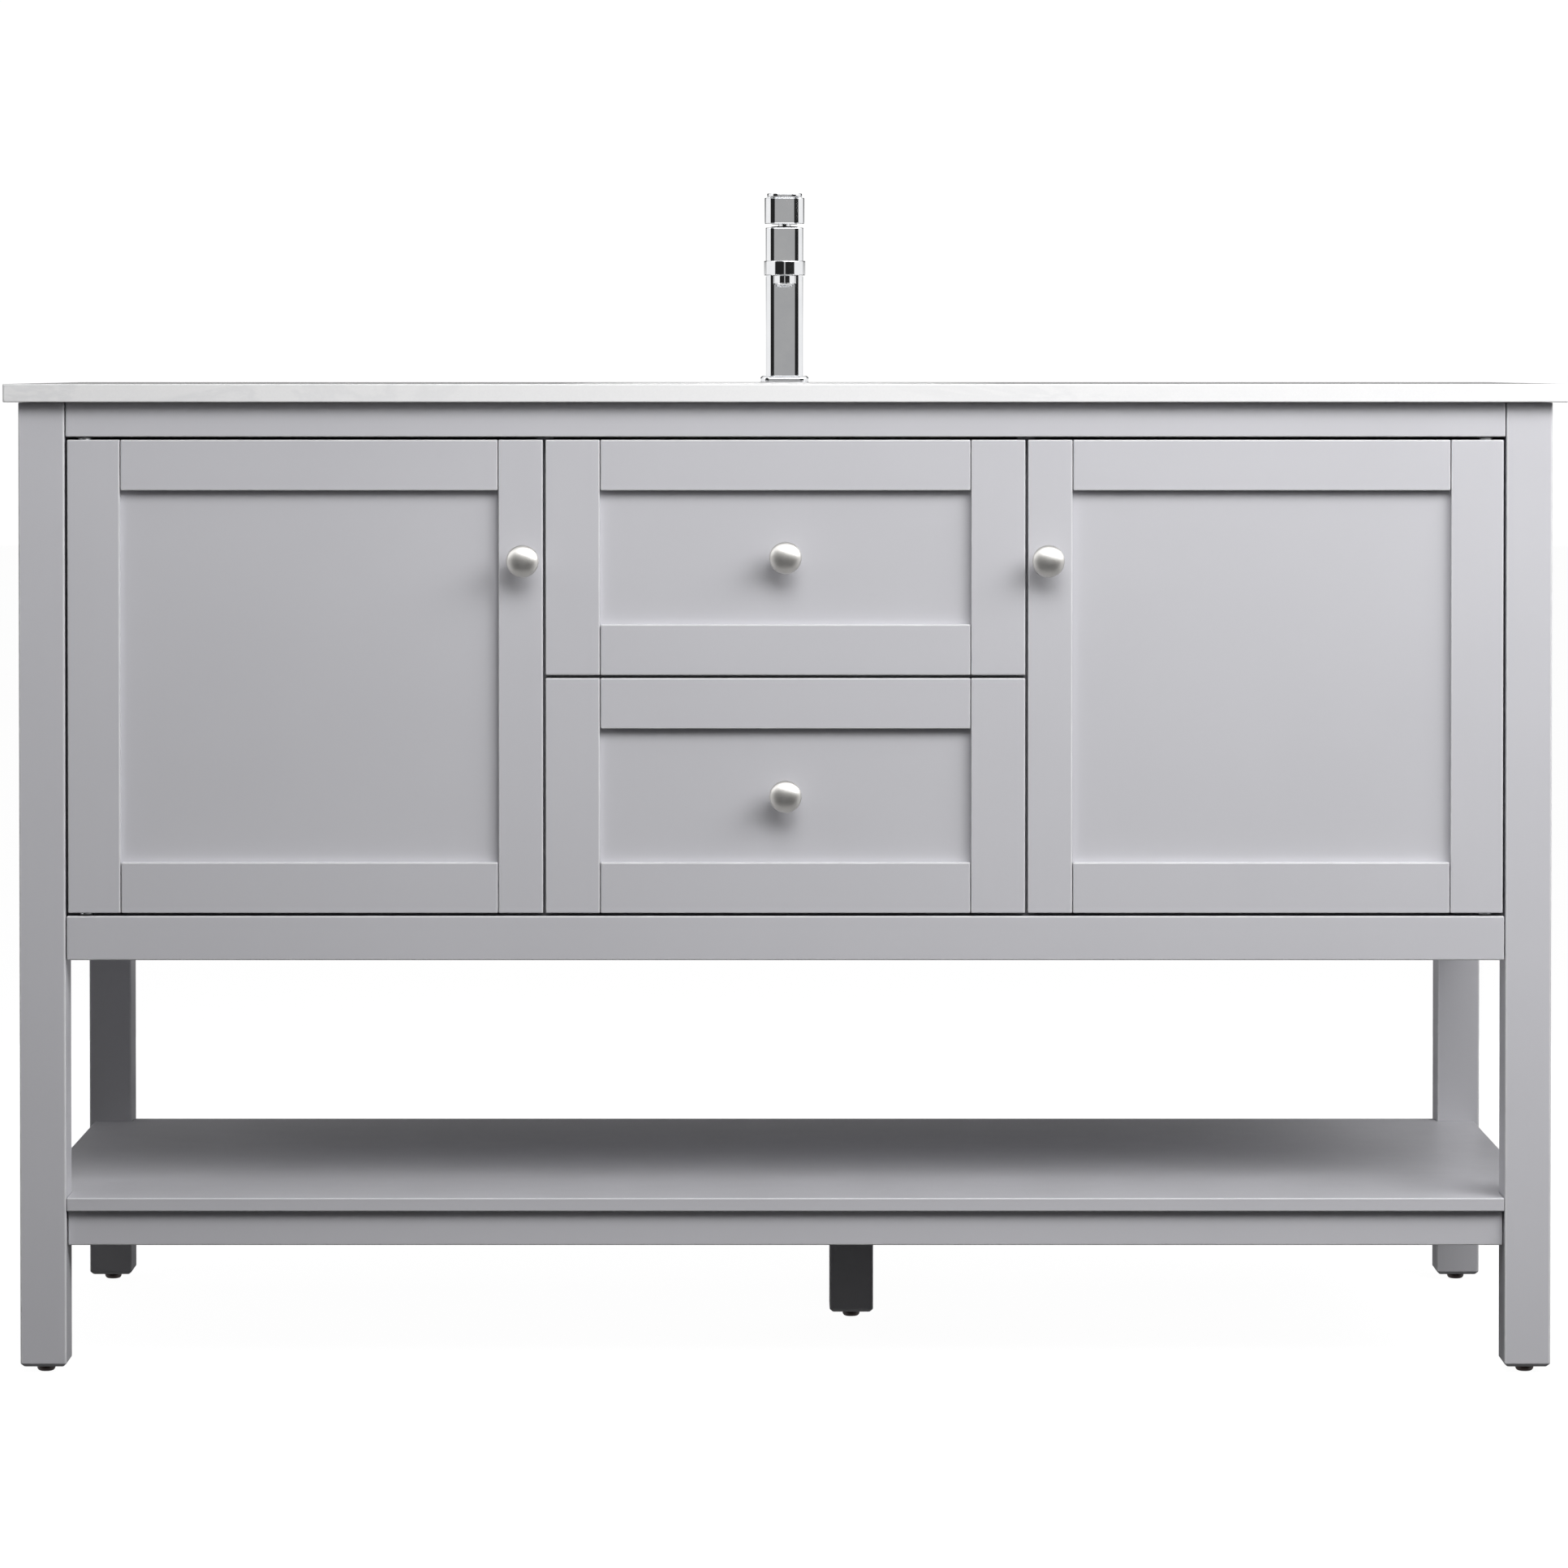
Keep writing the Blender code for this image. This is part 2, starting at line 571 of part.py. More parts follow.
def sink_bowl():
    inner = bowl_wall(0)
    outer = bowl_wall(BOWL_WALL)
    rim_x = inner[-1][0] + BOWL_FLANGE_WIDTH
    rim_y = inner[-1][1] + BOWL_FLANGE_WIDTH
    under = CARCASS_TOP - BOWL_FLANGE_THICKNESS
    hole = DRAIN_HOLE_RADIUS
    flange = [(rim_x, rim_y, CARCASS_TOP), (rim_x, rim_y, under), (outer[-1][0], outer[-1][1], under)]
    section = [(hole, hole, BOWL_FLOOR_HEIGHT), *inner, *flange, *reversed(outer[:-1]),
               (hole, hole, BOWL_UNDERSIDE)]
    rings = [level(oval(a, b, 0, BOWL_CENTRE, OVAL_STEPS), z) for a, b, z in section]
    add("sink_bowl", loft(rings, closed=True), "glazed_ceramic", smooth=True)


def drain():
    top = GAP + DRAIN_FLANGE_THICKNESS
    shoulder = -DRAIN_BODY_LENGTH
    seat = shoulder + DRAIN_NECK_LENGTH
    end = shoulder - TAIL_LENGTH
    profile = [
        (DRAIN_BORE_RADIUS, top), (DRAIN_FLANGE_RADIUS - GAP, top), (DRAIN_FLANGE_RADIUS, GAP),
        (DRAIN_RADIUS, GAP), (DRAIN_RADIUS, shoulder), (TAIL_RADIUS, shoulder), (TAIL_RADIUS, end),
        (TAIL_BORE_RADIUS, end), (TAIL_BORE_RADIUS, seat), (DRAIN_BORE_RADIUS, seat),
    ]
    centre = at(0, BOWL_CENTRE, BOWL_FLOOR_HEIGHT)
    mesh = turned(profile, centre, (0, 0, 1), CIRCLE_STEPS, closed=True)
    add("drain_body", mesh, "chrome", smooth=True)
    stopper(centre, top + GAP)


def stopper(centre, seat):
    """Push-in plug: a skirt that slides in the drain's bore, under a shallow cap."""
    axis = joint_axis("stopper_axis", centre)
    skirt = seat - STOPPER_SKIRT_LENGTH
    profile = [(STOPPER_SKIRT_RADIUS, skirt), (STOPPER_SKIRT_RADIUS, seat), (STOPPER_RADIUS, seat)]
    rise = STOPPER_CAP_HEIGHT / 2
    for step in range(DOME_STEPS):
        turn = step / DOME_STEPS * math.pi / 2
        profile.append((STOPPER_RADIUS * math.cos(turn), seat + rise + rise * math.sin(turn)))
    mesh = turned(profile, centre, (0, 0, 1), CIRCLE_STEPS)
    add("sink_stopper", mesh, "chrome", axis, smooth=True)


# ---------------------------------------------------------------- tap
def tap_body():
    """Square column on a plate, with a flat spout round it and a shank through the worktop."""
    plate = rounded_rectangle(TAP_PLATE_SIZE, TAP_PLATE_SIZE, TAP_CORNER_RADIUS, 0, TAP_CENTRE)
    column = rounded_rectangle(TAP_COLUMN_SIZE, TAP_COLUMN_SIZE, TAP_CORNER_RADIUS, 0, TAP_CENTRE)
    half_plate = TAP_PLATE_THICKNESS / 2
    body = add("tap_body", prism(column, TAP_BASE + half_plate, TAP_BASE + TAP_COLUMN_HEIGHT), "chrome",
               smooth=True)
    combine(body, prism(plate, TAP_BASE, TAP_BASE + TAP_PLATE_THICKNESS), "UNION", "plate")
    length = SPOUT_REACH + SPOUT_WIDTH / 2
    middle = TAP_CENTRE - SPOUT_REACH + length / 2
    spout = rounded_rectangle(SPOUT_WIDTH, length, TAP_CORNER_RADIUS, 0, middle)
    low = TAP_BASE + SPOUT_LIFT
    combine(body, prism(spout, low, low + SPOUT_HEIGHT), "UNION", "spout")
    shank = oval(TAP_SHANK_RADIUS, TAP_SHANK_RADIUS, 0, TAP_CENTRE, CIRCLE_STEPS)
    combine(body, prism(shank, TAP_BASE - TAP_SHANK_LENGTH, TAP_BASE + half_plate / 2), "UNION", "shank")


def aerator():
    """Ring screwed in under the tip of the spout, open below."""
    inner = AERATOR_RADIUS - AERATOR_WALL
    profile = [
        (AERATOR_RADIUS, GAP), (AERATOR_RADIUS, AERATOR_HEIGHT - AERATOR_EDGE),
        (AERATOR_RADIUS - AERATOR_EDGE, AERATOR_HEIGHT), (inner, AERATOR_HEIGHT),
        (inner, AERATOR_SCREEN_DROP),
    ]
    centre = at(0, TAP_CENTRE - SPOUT_REACH + AERATOR_INSET, TAP_BASE + SPOUT_LIFT)
    add("aerator", turned(profile, centre, (0, 0, -1), CIRCLE_STEPS), "chrome", smooth=True)


def tap_handle():
    """Stem that turns on the column, and the lever handle that tilts on it."""
    swivel = joint_axis("tap_swivel_axis", at(0, TAP_CENTRE, TAP_BASE + TAP_COLUMN_HEIGHT))
    profile = [
        (STEM_DOME_RADIUS, GAP), (STEM_DOME_CROWN_RADIUS, STEM_DOME_EDGE_HEIGHT),
        (STEM_NECK_RADIUS, STEM_DOME_HEIGHT), (STEM_NECK_RADIUS, STEM_HEIGHT),
    ]
    stem = turned(profile, swivel.location, (0, 0, 1), CIRCLE_STEPS)
    add("tap_stem", stem, "chrome", swivel, smooth=True)

    tilt = joint_axis("tap_tilt_axis", at(0, TAP_CENTRE + TILT_SETBACK, HANDLE_BASE + TILT_LIFT))
    top = HANDLE_BASE + HANDLE_HEIGHT
    outline = rounded_rectangle(HANDLE_SIZE, HANDLE_SIZE, TAP_CORNER_RADIUS, 0, TAP_CENTRE)
    handle = add("tap_handle", prism(outline, HANDLE_BASE, top), "chrome", tilt, smooth=True)
    length = LEVER_WIDTH + LEVER_OVERHANG
    middle = TAP_CENTRE + LEVER_WIDTH / 2 - length / 2
    lever = rounded_rectangle(LEVER_WIDTH, length, TAP_CORNER_RADIUS, 0, middle)
    combine(handle, prism(lever, top - GAP, top - GAP + LEVER_THICKNESS), "UNION", "lever")
    half = HANDLE_POCKET_SIZE / 2
    pocket = block(-half, half, TAP_CENTRE - half, TAP_CENTRE + half,
                   HANDLE_BASE - HANDLE_POCKET_HEIGHT, HANDLE_BASE + HANDLE_POCKET_HEIGHT)
    combine(handle, pocket, "DIFFERENCE", "pocket")


# ---------------------------------------------------------------- fronts and knobs
def front_frame(x0, x1, low, high, left_stile, right_stile):
    """Stiles and rails of a front, with a groove round the inside for the panel."""
    opening = (x0 + left_stile, x1 - right_stile, low + FRONT_RAIL_HEIGHT, high - FRONT_RAIL_HEIGHT)
    outer = (x0, x1, low, high)
    groove_front = PANEL_RECESS - GAP
    groove_back = PANEL_RECESS + PANEL_THICKNESS + GAP
    loops = [
        (grow(outer, -FRONT_ARRIS), 0), (grow(opening, FRONT_ARRIS), 0), (opening, FRONT_ARRIS),
        (opening, groove_front), (grow(opening, GROOVE_DEPTH), groove_front),
        (grow(opening, GROOVE_DEPTH), groove_back), (opening, groove_back),
        (opening, FRONT_THICKNESS), (outer, FRONT_THICKNESS), (outer, FRONT_ARRIS),
    ]
    return loft([upright_ring(*ring, setback) for ring, setback in loops], closed=True), opening


def grow(ring, distance):
    x0, x1, low, high = ring
    return x0 - distance, x1 + distance, low - distance, high + distance


def front_panel(opening):
    x0, x1, low, high = grow(opening, GROOVE_DEPTH - PANEL_PLAY)
    return block(x0, x1, PANEL_RECESS, PANEL_RECESS + PANEL_THICKNESS, low, high)


def knob_profile(thickness):
    """Screw head behind the board, screw through it, foot, neck, rim and low dome."""
    back = -thickness - GAP
    rim = KNOB_PROJECTION - KNOB_DOME_HEIGHT
    under = rim - KNOB_RIM_HEIGHT
    profile = [
        (KNOB_SCREW_HEAD_RADIUS, back - KNOB_SCREW_HEAD_HEIGHT), (KNOB_SCREW_HEAD_RADIUS, back),
        (KNOB_SCREW_RADIUS, back), (KNOB_SCREW_RADIUS, GAP), (KNOB_FOOT_RADIUS, GAP),
    ]
    for step in range(1, KNOB_NECK_STEPS + 1):
        t = step / (KNOB_NECK_STEPS + 1)
        end_radius = KNOB_FOOT_RADIUS if t < 0.5 else KNOB_UNDERCUT_RADIUS
        flare = abs(2 * t - 1) ** KNOB_FLARE
        profile.append((KNOB_NECK_RADIUS + (end_radius - KNOB_NECK_RADIUS) * flare, t * under))
    profile += [(KNOB_UNDERCUT_RADIUS, under), (KNOB_RADIUS, under + KNOB_RIM_HEIGHT / 2), (KNOB_RADIUS, rim)]
    for step in range(1, DOME_STEPS):
        turn = step / DOME_STEPS * math.pi / 2
        profile.append((KNOB_RADIUS * math.cos(turn), rim + KNOB_DOME_HEIGHT * math.sin(turn)))
    profile.append((KNOB_SCREW_RADIUS, KNOB_PROJECTION))
    return profile


def knob(name, board, x, setback, thickness, z, axis):
    """Knob on the front face of a board, and the hole for its screw."""
    centre = at(x, setback, z)
    mesh = turned(knob_profile(thickness), centre, (0, -1, 0), KNOB_STEPS)
    add(name, mesh, "satin_nickel", axis, smooth=True)
    through = [(KNOB_SCREW_RADIUS + GAP, -2 * thickness), (KNOB_SCREW_RADIUS + GAP, thickness)]
    combine(board, turned(through, centre, (0, -1, 0), CIRCLE_STEPS), "DIFFERENCE", "knob_hole")


# ---------------------------------------------------------------- doors
def door(side, sign):
    axis = joint_axis(f"{side}_door_axis", at(sign * PIVOT_X, PIVOT_SETBACK, 0))
    hinge_edge = sign * DOOR_EDGE_X
    latch_edge = sign * (DOOR_EDGE_X - DOOR_WIDTH)
    x0, x1 = sorted((hinge_edge, latch_edge))
    stiles = (HINGE_STILE_WIDTH, LATCH_STILE_WIDTH)
    left_stile, right_stile = stiles if sign < 0 else reversed(stiles)
    mesh, opening = front_frame(x0, x1, FRONT_BOTTOM, FRONT_TOP, left_stile, right_stile)
    frame = add(f"{side}_door_frame", mesh, "grey_paint", axis)
    add(f"{side}_door_panel", front_panel(opening), "grey_paint", axis)
    knob(f"{side}_door_knob", frame, latch_edge + sign * DOOR_KNOB_INSET, 0, FRONT_THICKNESS,
         FRONT_TOP - DOOR_KNOB_DROP, axis)
    for end, face, into in (("upper", OPENING_TOP, 1), ("lower", OPENING_BOTTOM, -1)):
        centre = at(sign * PIVOT_X, PIVOT_SETBACK, face)
        pivot_pin(f"{side}_door_pin_{end}", centre, into, axis)
        pivot_socket(f"{side}_door_socket_{end}", centre, into)
        bore = [(PIN_SHANK_RADIUS + GAP, 0), (PIN_SHANK_RADIUS + GAP, END_REVEAL + PIN_SHANK_LENGTH + GAP)]
        combine(frame, turned(bore, centre, (0, 0, -into), CIRCLE_STEPS), "DIFFERENCE", f"{end}_bore")


def pivot_pin(name, centre, into, axis):
    """Shank in the door, collar in the reveal and pin in the rail's socket."""
    collar = END_REVEAL - GAP
    profile = [
        (PIN_RADIUS, -PIN_REACH), (PIN_RADIUS, collar - PIN_COLLAR_THICKNESS),
        (PIN_COLLAR_RADIUS, collar - PIN_COLLAR_THICKNESS), (PIN_COLLAR_RADIUS, collar),
        (PIN_SHANK_RADIUS, collar), (PIN_SHANK_RADIUS, END_REVEAL + PIN_SHANK_LENGTH),
    ]
    add(name, turned(profile, centre, (0, 0, -into), CIRCLE_STEPS), "zinc_plate", axis, smooth=True)


def pivot_socket(name, centre, into):
    """Flanged bush in the rail that the pin turns in."""
    bore = PIN_RADIUS + GAP
    floor = -PIN_REACH - GAP
    flange = GAP + SOCKET_FLANGE_THICKNESS
    profile = [
        (SOCKET_RADIUS, floor - SOCKET_FLOOR), (SOCKET_RADIUS, GAP), (SOCKET_FLANGE_RADIUS, GAP),
        (SOCKET_FLANGE_RADIUS, flange), (bore, flange), (bore, floor),
    ]
    add(name, turned(profile, centre, (0, 0, -into), CIRCLE_STEPS), "black_nylon", smooth=True)


# ---------------------------------------------------------------- drawers
def drawer(level_name, low, box):
    """A drawer with its front, knob and slides, and the runners on the partitions."""
    axis = joint_axis(f"{level_name}_drawer_axis", at(0, 0, low))
    half = DRAWER_FRONT_WIDTH / 2
    mesh, opening = front_frame(-half, half, low, low + DRAWER_FRONT_HEIGHT, DRAWER_STILE_WIDTH,
                                DRAWER_STILE_WIDTH)
    add(f"{level_name}_drawer_frame", mesh, "grey_paint", axis)
    panel = add(f"{level_name}_drawer_panel", front_panel(opening), "grey_paint", axis)
    knob(f"{level_name}_drawer_knob", panel, 0, PANEL_RECESS, PANEL_THICKNESS, low + DRAWER_FRONT_HEIGHT / 2,
         axis)
    add(f"{level_name}_drawer_box", box, "birch_ply", axis)
    slides(level_name, low + DRAWER_LIFT + RUNNER_LIFT, axis)


def slides(level_name, low, axis):
    """Channel runners on the partitions, and the bars on the drawer that slide in them."""
    high = low + RUNNER_HEIGHT
    back = BAY_HALF_WIDTH - GAP
    lip = back - RUNNER_DEPTH
    web = back - RUNNER_WALL
    play = RUNNER_WALL + SLIDE_PLAY
    channel = [
        (lip, low), (back, low), (back, high), (lip, high),
        (lip, high - RUNNER_WALL), (web, high - RUNNER_WALL), (web, low + RUNNER_WALL),
        (lip, low + RUNNER_WALL),
    ]
    bar = rectangle(BOX_HALF_WIDTH + GAP, web - SLIDE_PLAY, low + play, high - play)
    for side, sign in (("left", -1), ("right", 1)):
        shapes = [[(sign * x, z) for x, z in outline] for outline in (channel, bar)]
        runner, slide = [endways_prism(outline, SLIDE_SETBACK, BOX_BACK) for outline in shapes]
        add(f"{level_name}_runner_{side}", runner, "zinc_plate")
        add(f"{level_name}_slide_{side}", slide, "zinc_plate", axis)


def upper_box(low):
    """Shallow box under the bowl, open at the back round the drain."""
    notch = PIPE_NOTCH_HALF_WIDTH
    notch_front = BOWL_CENTRE - notch
    outline = [
        (-BOX_HALF_WIDTH, BOX_FRONT), (BOX_HALF_WIDTH, BOX_FRONT), (BOX_HALF_WIDTH, BOX_BACK),
        (notch, BOX_BACK), (notch, notch_front), (-notch, notch_front), (-notch, BOX_BACK),
        (-BOX_HALF_WIDTH, BOX_BACK),
    ]
    return tray(outline, DRAWER_WALL, low, low + DRAWER_FLOOR, BOWL_UNDERSIDE - BOWL_CLEARANCE)


def lower_box(low):
    outline = rectangle(-BOX_HALF_WIDTH, BOX_HALF_WIDTH, BOX_FRONT, BOX_BACK)
    return tray(outline, DRAWER_WALL, low, low + DRAWER_FLOOR, low + LOWER_BOX_HEIGHT)


def drawers():
    lower = FRONT_BOTTOM
    upper = FRONT_BOTTOM + DRAWER_FRONT_HEIGHT + END_REVEAL
    drawer("lower", lower, lower_box(lower + DRAWER_LIFT))
    drawer("upper", upper, upper_box(upper + DRAWER_LIFT))


# ---------------------------------------------------------------- the whole cabinet
def build():
    for old in list(bpy.data.objects):
        bpy.data.objects.remove(old, do_unlink=True)
    legs()
    front_rails()
    carcass()
    open_shelf()
    countertop()
    sink_bowl()
    drain()
    tap_body()
    aerator()
    tap_handle()
    for side, sign in (("left", -1), ("right", 1)):
        door(side, sign)
    drawers()
    bpy.context.view_layer.update()


build()
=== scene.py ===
import json
import math

import bmesh
import bpy
import numpy as np
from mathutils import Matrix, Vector


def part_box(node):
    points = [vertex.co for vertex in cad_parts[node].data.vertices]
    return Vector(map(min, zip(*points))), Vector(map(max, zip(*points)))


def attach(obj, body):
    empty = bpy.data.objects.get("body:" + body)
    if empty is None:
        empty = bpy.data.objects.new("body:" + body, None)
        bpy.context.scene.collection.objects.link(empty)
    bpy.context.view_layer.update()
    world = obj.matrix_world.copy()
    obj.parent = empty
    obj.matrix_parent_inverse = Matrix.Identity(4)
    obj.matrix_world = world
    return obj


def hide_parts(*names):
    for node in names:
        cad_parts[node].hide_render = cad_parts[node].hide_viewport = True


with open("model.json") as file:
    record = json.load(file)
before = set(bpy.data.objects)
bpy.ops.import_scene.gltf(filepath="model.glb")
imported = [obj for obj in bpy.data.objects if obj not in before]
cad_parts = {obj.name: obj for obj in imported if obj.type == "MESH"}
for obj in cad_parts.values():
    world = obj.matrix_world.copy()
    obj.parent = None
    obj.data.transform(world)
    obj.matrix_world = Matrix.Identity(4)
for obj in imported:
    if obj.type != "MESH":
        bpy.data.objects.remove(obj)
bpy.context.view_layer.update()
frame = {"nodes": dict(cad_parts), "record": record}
print("frame loaded,", len(frame["nodes"]), "nodes")


# a shape is a dictionary of points, faces and the arris and board values that the finishes read

def nodeBox(name):
    low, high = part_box(name)
    return np.array(low, float), np.array(high, float)


def gridFaces(rows, columns, closedRows=False):
    # quads between neighbouring rings; the last point of a ring joins the first one
    row, column = np.meshgrid(np.arange(rows if closedRows else rows - 1), np.arange(columns), indexing="ij")
    nextRow = (row + 1) % rows
    nextColumn = (column + 1) % columns
    corners = [row * columns + column, row * columns + nextColumn,
               nextRow * columns + nextColumn, nextRow * columns + column]
    return np.stack(corners, axis=-1).reshape(-1, 4)


def shapeFromRings(rings, closedRows=False, edge=None, board=None, caps=(True, True)):
    # rings is rows x columns x 3; the ends are closed by one flat face each
    rows, columns = rings.shape[:2]
    faces = gridFaces(rows, columns, closedRows).tolist()
    if not closedRows and caps[0]:
        faces.append(list(range(columns)))
    if not closedRows and caps[1]:
        faces.append(list(range((rows - 1) * columns, rows * columns)))
    count = rows * columns
    return {
        "points": rings.reshape(-1, 3),
        "faces": faces,
        "arris": np.zeros(count) if edge is None else np.broadcast_to(edge, (rows, columns)).ravel(),
        "board": np.zeros((count, 3)) if board is None else board.reshape(-1, 3),
    }


def joined(shapes):
    # several shapes as one, each face list counted on from the points before it
    starts = np.cumsum([0] + [len(s["points"]) for s in shapes])
    return {
        "points": np.concatenate([s["points"] for s in shapes]),
        "faces": [[v + int(start) for v in f] for s, start in zip(shapes, starts) for f in s["faces"]],
        "arris": np.concatenate([s["arris"] for s in shapes]),
        "board": np.concatenate([s["board"] for s in shapes]),
    }


def easedLine(corners, radii, steps=5, closed=False):
    # a line of straight stretches whose corners become (1-t)^2 a + 2t(1-t) p + t^2 b,
    # where a and b lie at the corner's own radius along its two stretches
    p = np.array(corners, float)
    before = np.roll(p, 1, axis=0)
    after = np.roll(p, -1, axis=0)
    reach = np.array(radii, float)[:, None]
    if not closed:
        reach[0] = reach[-1] = 0
    back = before - p
    on = after - p
    backLength = np.maximum(np.linalg.norm(back, axis=1, keepdims=True), 1e-12)
    onLength = np.maximum(np.linalg.norm(on, axis=1, keepdims=True), 1e-12)
    a = p + back * np.minimum(reach / backLength, 0.5)
    b = p + on * np.minimum(reach / onLength, 0.5)
    t = np.linspace(0, 1, steps + 1)[None, :, None]
    curve = (1 - t) ** 2 * a[:, None] + 2 * t * (1 - t) * p[:, None] + t ** 2 * b[:, None]
    line = curve.reshape(-1, 2)
    gap = np.linalg.norm(np.diff(line, axis=0), axis=1)
    return line[np.concatenate([[True], gap > 1e-7])]


def quarterTurns(steps):
    # angles along four quarter circles, and the signs of the corners they round
    turn = np.linspace(0, math.pi / 2, steps + 1)
    signs = np.array([[1, 1], [-1, 1], [-1, -1], [1, -1]], float)
    return turn[None, :] + np.arange(4)[:, None] * math.pi / 2, signs


def onCircle(angle):
    # cos and sin of each angle as a pair
    return np.stack([np.cos(angle), np.sin(angle)], axis=-1)


def alongCircle(angle):
    # direction of travel at each angle: minus sin, and cos
    return np.stack([-np.sin(angle), np.cos(angle)], axis=-1)


def atHeight(ring, height):
    # plan points lifted to one height
    return np.column_stack([ring, np.full(len(ring), height)])


def roundedBoard(low, high, arris=0.0011, along=None, steps=3, shift=0.0):
    # a rectangle with quarter-circle corners carried from end to end, drawn in along a quarter circle
    # at both ends; a second ring behind each rounding keeps the flat faces flat
    low, high = np.array(low, float), np.array(high, float)
    size = high - low
    length = int(np.argmax(size)) if along is None else along
    first, second = [axis for axis in range(3) if axis != length]
    r = min(arris, 0.3 * size.min())
    s = 0.6 * r
    turn = np.linspace(0, math.pi / 2, steps + 1)
    inset = np.concatenate([[r + s], r * (1 - np.sin(turn)), [0]])
    place = np.concatenate([[0], r * (1 - np.cos(turn)), [r + s]])
    edge = np.concatenate([[0], np.ones(steps + 1), [0]])
    inset = np.concatenate([inset, inset[::-1]])[:, None, None]
    place = np.concatenate([place, size[length] - place[::-1]])
    edge = np.concatenate([edge, edge[::-1]])
    angle, signs = quarterTurns(steps)
    half = size[[first, second]] / 2
    middle = np.maximum(r, inset)
    centre = signs[None, :, None, :] * (half[None, None, None, :] - middle[..., None])
    radius = np.maximum(r - inset, 0)[..., None]
    arc = centre + radius * onCircle(angle)[None]
    start, end = angle[:, 0], angle[:, -1]
    ahead = arc[:, :, :1] - s * alongCircle(start)[None, :, None]
    behind = arc[:, :, -1:] + s * alongCircle(end)[None, :, None]
    ring = np.concatenate([ahead, arc, behind], axis=2)
    rows = ring.shape[0]
    flat = ring.reshape(rows, -1, 2)
    rings = np.zeros((rows, flat.shape[1], 3))
    rings[..., first] = flat[..., 0] + (low + high)[first] / 2
    rings[..., second] = flat[..., 1] + (low + high)[second] / 2
    rings[..., length] = low[length] + place[:, None]
    cornerEdge = np.tile(np.concatenate([[0], np.ones(steps + 1), [0]]), 4)
    ends = np.isclose(inset[:, 0, 0], 0)[:, None]
    edgeMask = np.where(ends, cornerEdge[None, :], edge[:, None])
    edgeMask[0] = edgeMask[-1] = 0
    thin = first if size[first] <= size[second] else second
    wide = second if thin == first else first
    board = np.stack([rings[..., length] + shift, rings[..., wide] + 0.37 * shift,
                      (rings[..., thin] - low[thin]) / size[thin]], axis=-1)
    return shapeFromRings(rings, edge=edgeMask, board=board)


def turnedShape(profile, centre, direction=(0, 0, 1), steps=48, closed=False, lobes=None):
    # profile of (radius, height) pairs turned round an axis; lobes adds share * cos(number * angle) to the
    # radius of each row, for cross recesses and lugs
    line = np.array(profile, float)
    axis = np.array(direction, float) / np.linalg.norm(direction)
    side = np.cross(axis, [0.0, 0.0, 1.0] if abs(axis[2]) < 0.9 else [1.0, 0.0, 0.0])
    side /= np.linalg.norm(side)
    third = np.cross(axis, side)
    angle = np.arange(steps) / steps * 2 * math.pi
    radius = np.repeat(line[:, :1], steps, axis=1)
    if lobes is not None:
        number, shares = lobes
        radius = radius * (1 + np.array(shares, float)[:, None] * np.cos(number * angle)[None])
    rings = (np.array(centre, float) + axis * line[:, None, 1:2]
             + radius[..., None] * (np.cos(angle)[:, None] * side + np.sin(angle)[:, None] * third)[None])
    run = np.concatenate([[0], np.cumsum(np.linalg.norm(np.diff(line, axis=0), axis=1))])
    board = np.stack([np.broadcast_to(run[:, None], radius.shape),
                      np.broadcast_to(line[:, :1], radius.shape), radius * 0], axis=-1)
    ends = [line[0, 0] > 1e-7, line[-1, 0] > 1e-7]
    return shapeFromRings(rings, closedRows=closed, board=board, caps=ends)


def cornerRing(halfWidth, halfLength, radius, steps=6, between=0):
    # rectangle with quarter-circle corners, counter-clockwise, with some points between the corners
    angle, signs = quarterTurns(steps)
    centre = signs * (np.array([halfWidth, halfLength]) - radius)
    arc = centre[:, None] + radius * onCircle(angle)
    if not between:
        return arc.reshape(-1, 2)
    share = (np.arange(between) + 1)[None, :, None] / (between + 1)
    side = arc[:, -1:] * (1 - share) + np.roll(arc, -1, axis=0)[:, :1] * share
    return np.concatenate([arc, side], axis=1).reshape(-1, 2)


def softPrism(width, length, radius, rows, centre, steps=8, between=0):
    # rounded rectangle carried up through rows of (inset, height)
    rings = []
    for inset, height in rows:
        ring = cornerRing(width / 2 - inset, length / 2 - inset, max(radius - inset, 0.0002), steps, between)
        rings.append(atHeight(ring + np.array(centre), height))
    return shapeFromRings(np.array(rings))


def outlinePrism(outline, low, high):
    # a plan outline carried straight up; its edges are rounded by the bevel that the piece gets
    flat = np.array(outline, float)
    rings = np.stack([atHeight(flat, z) for z in (low, high)])
    return shapeFromRings(rings)


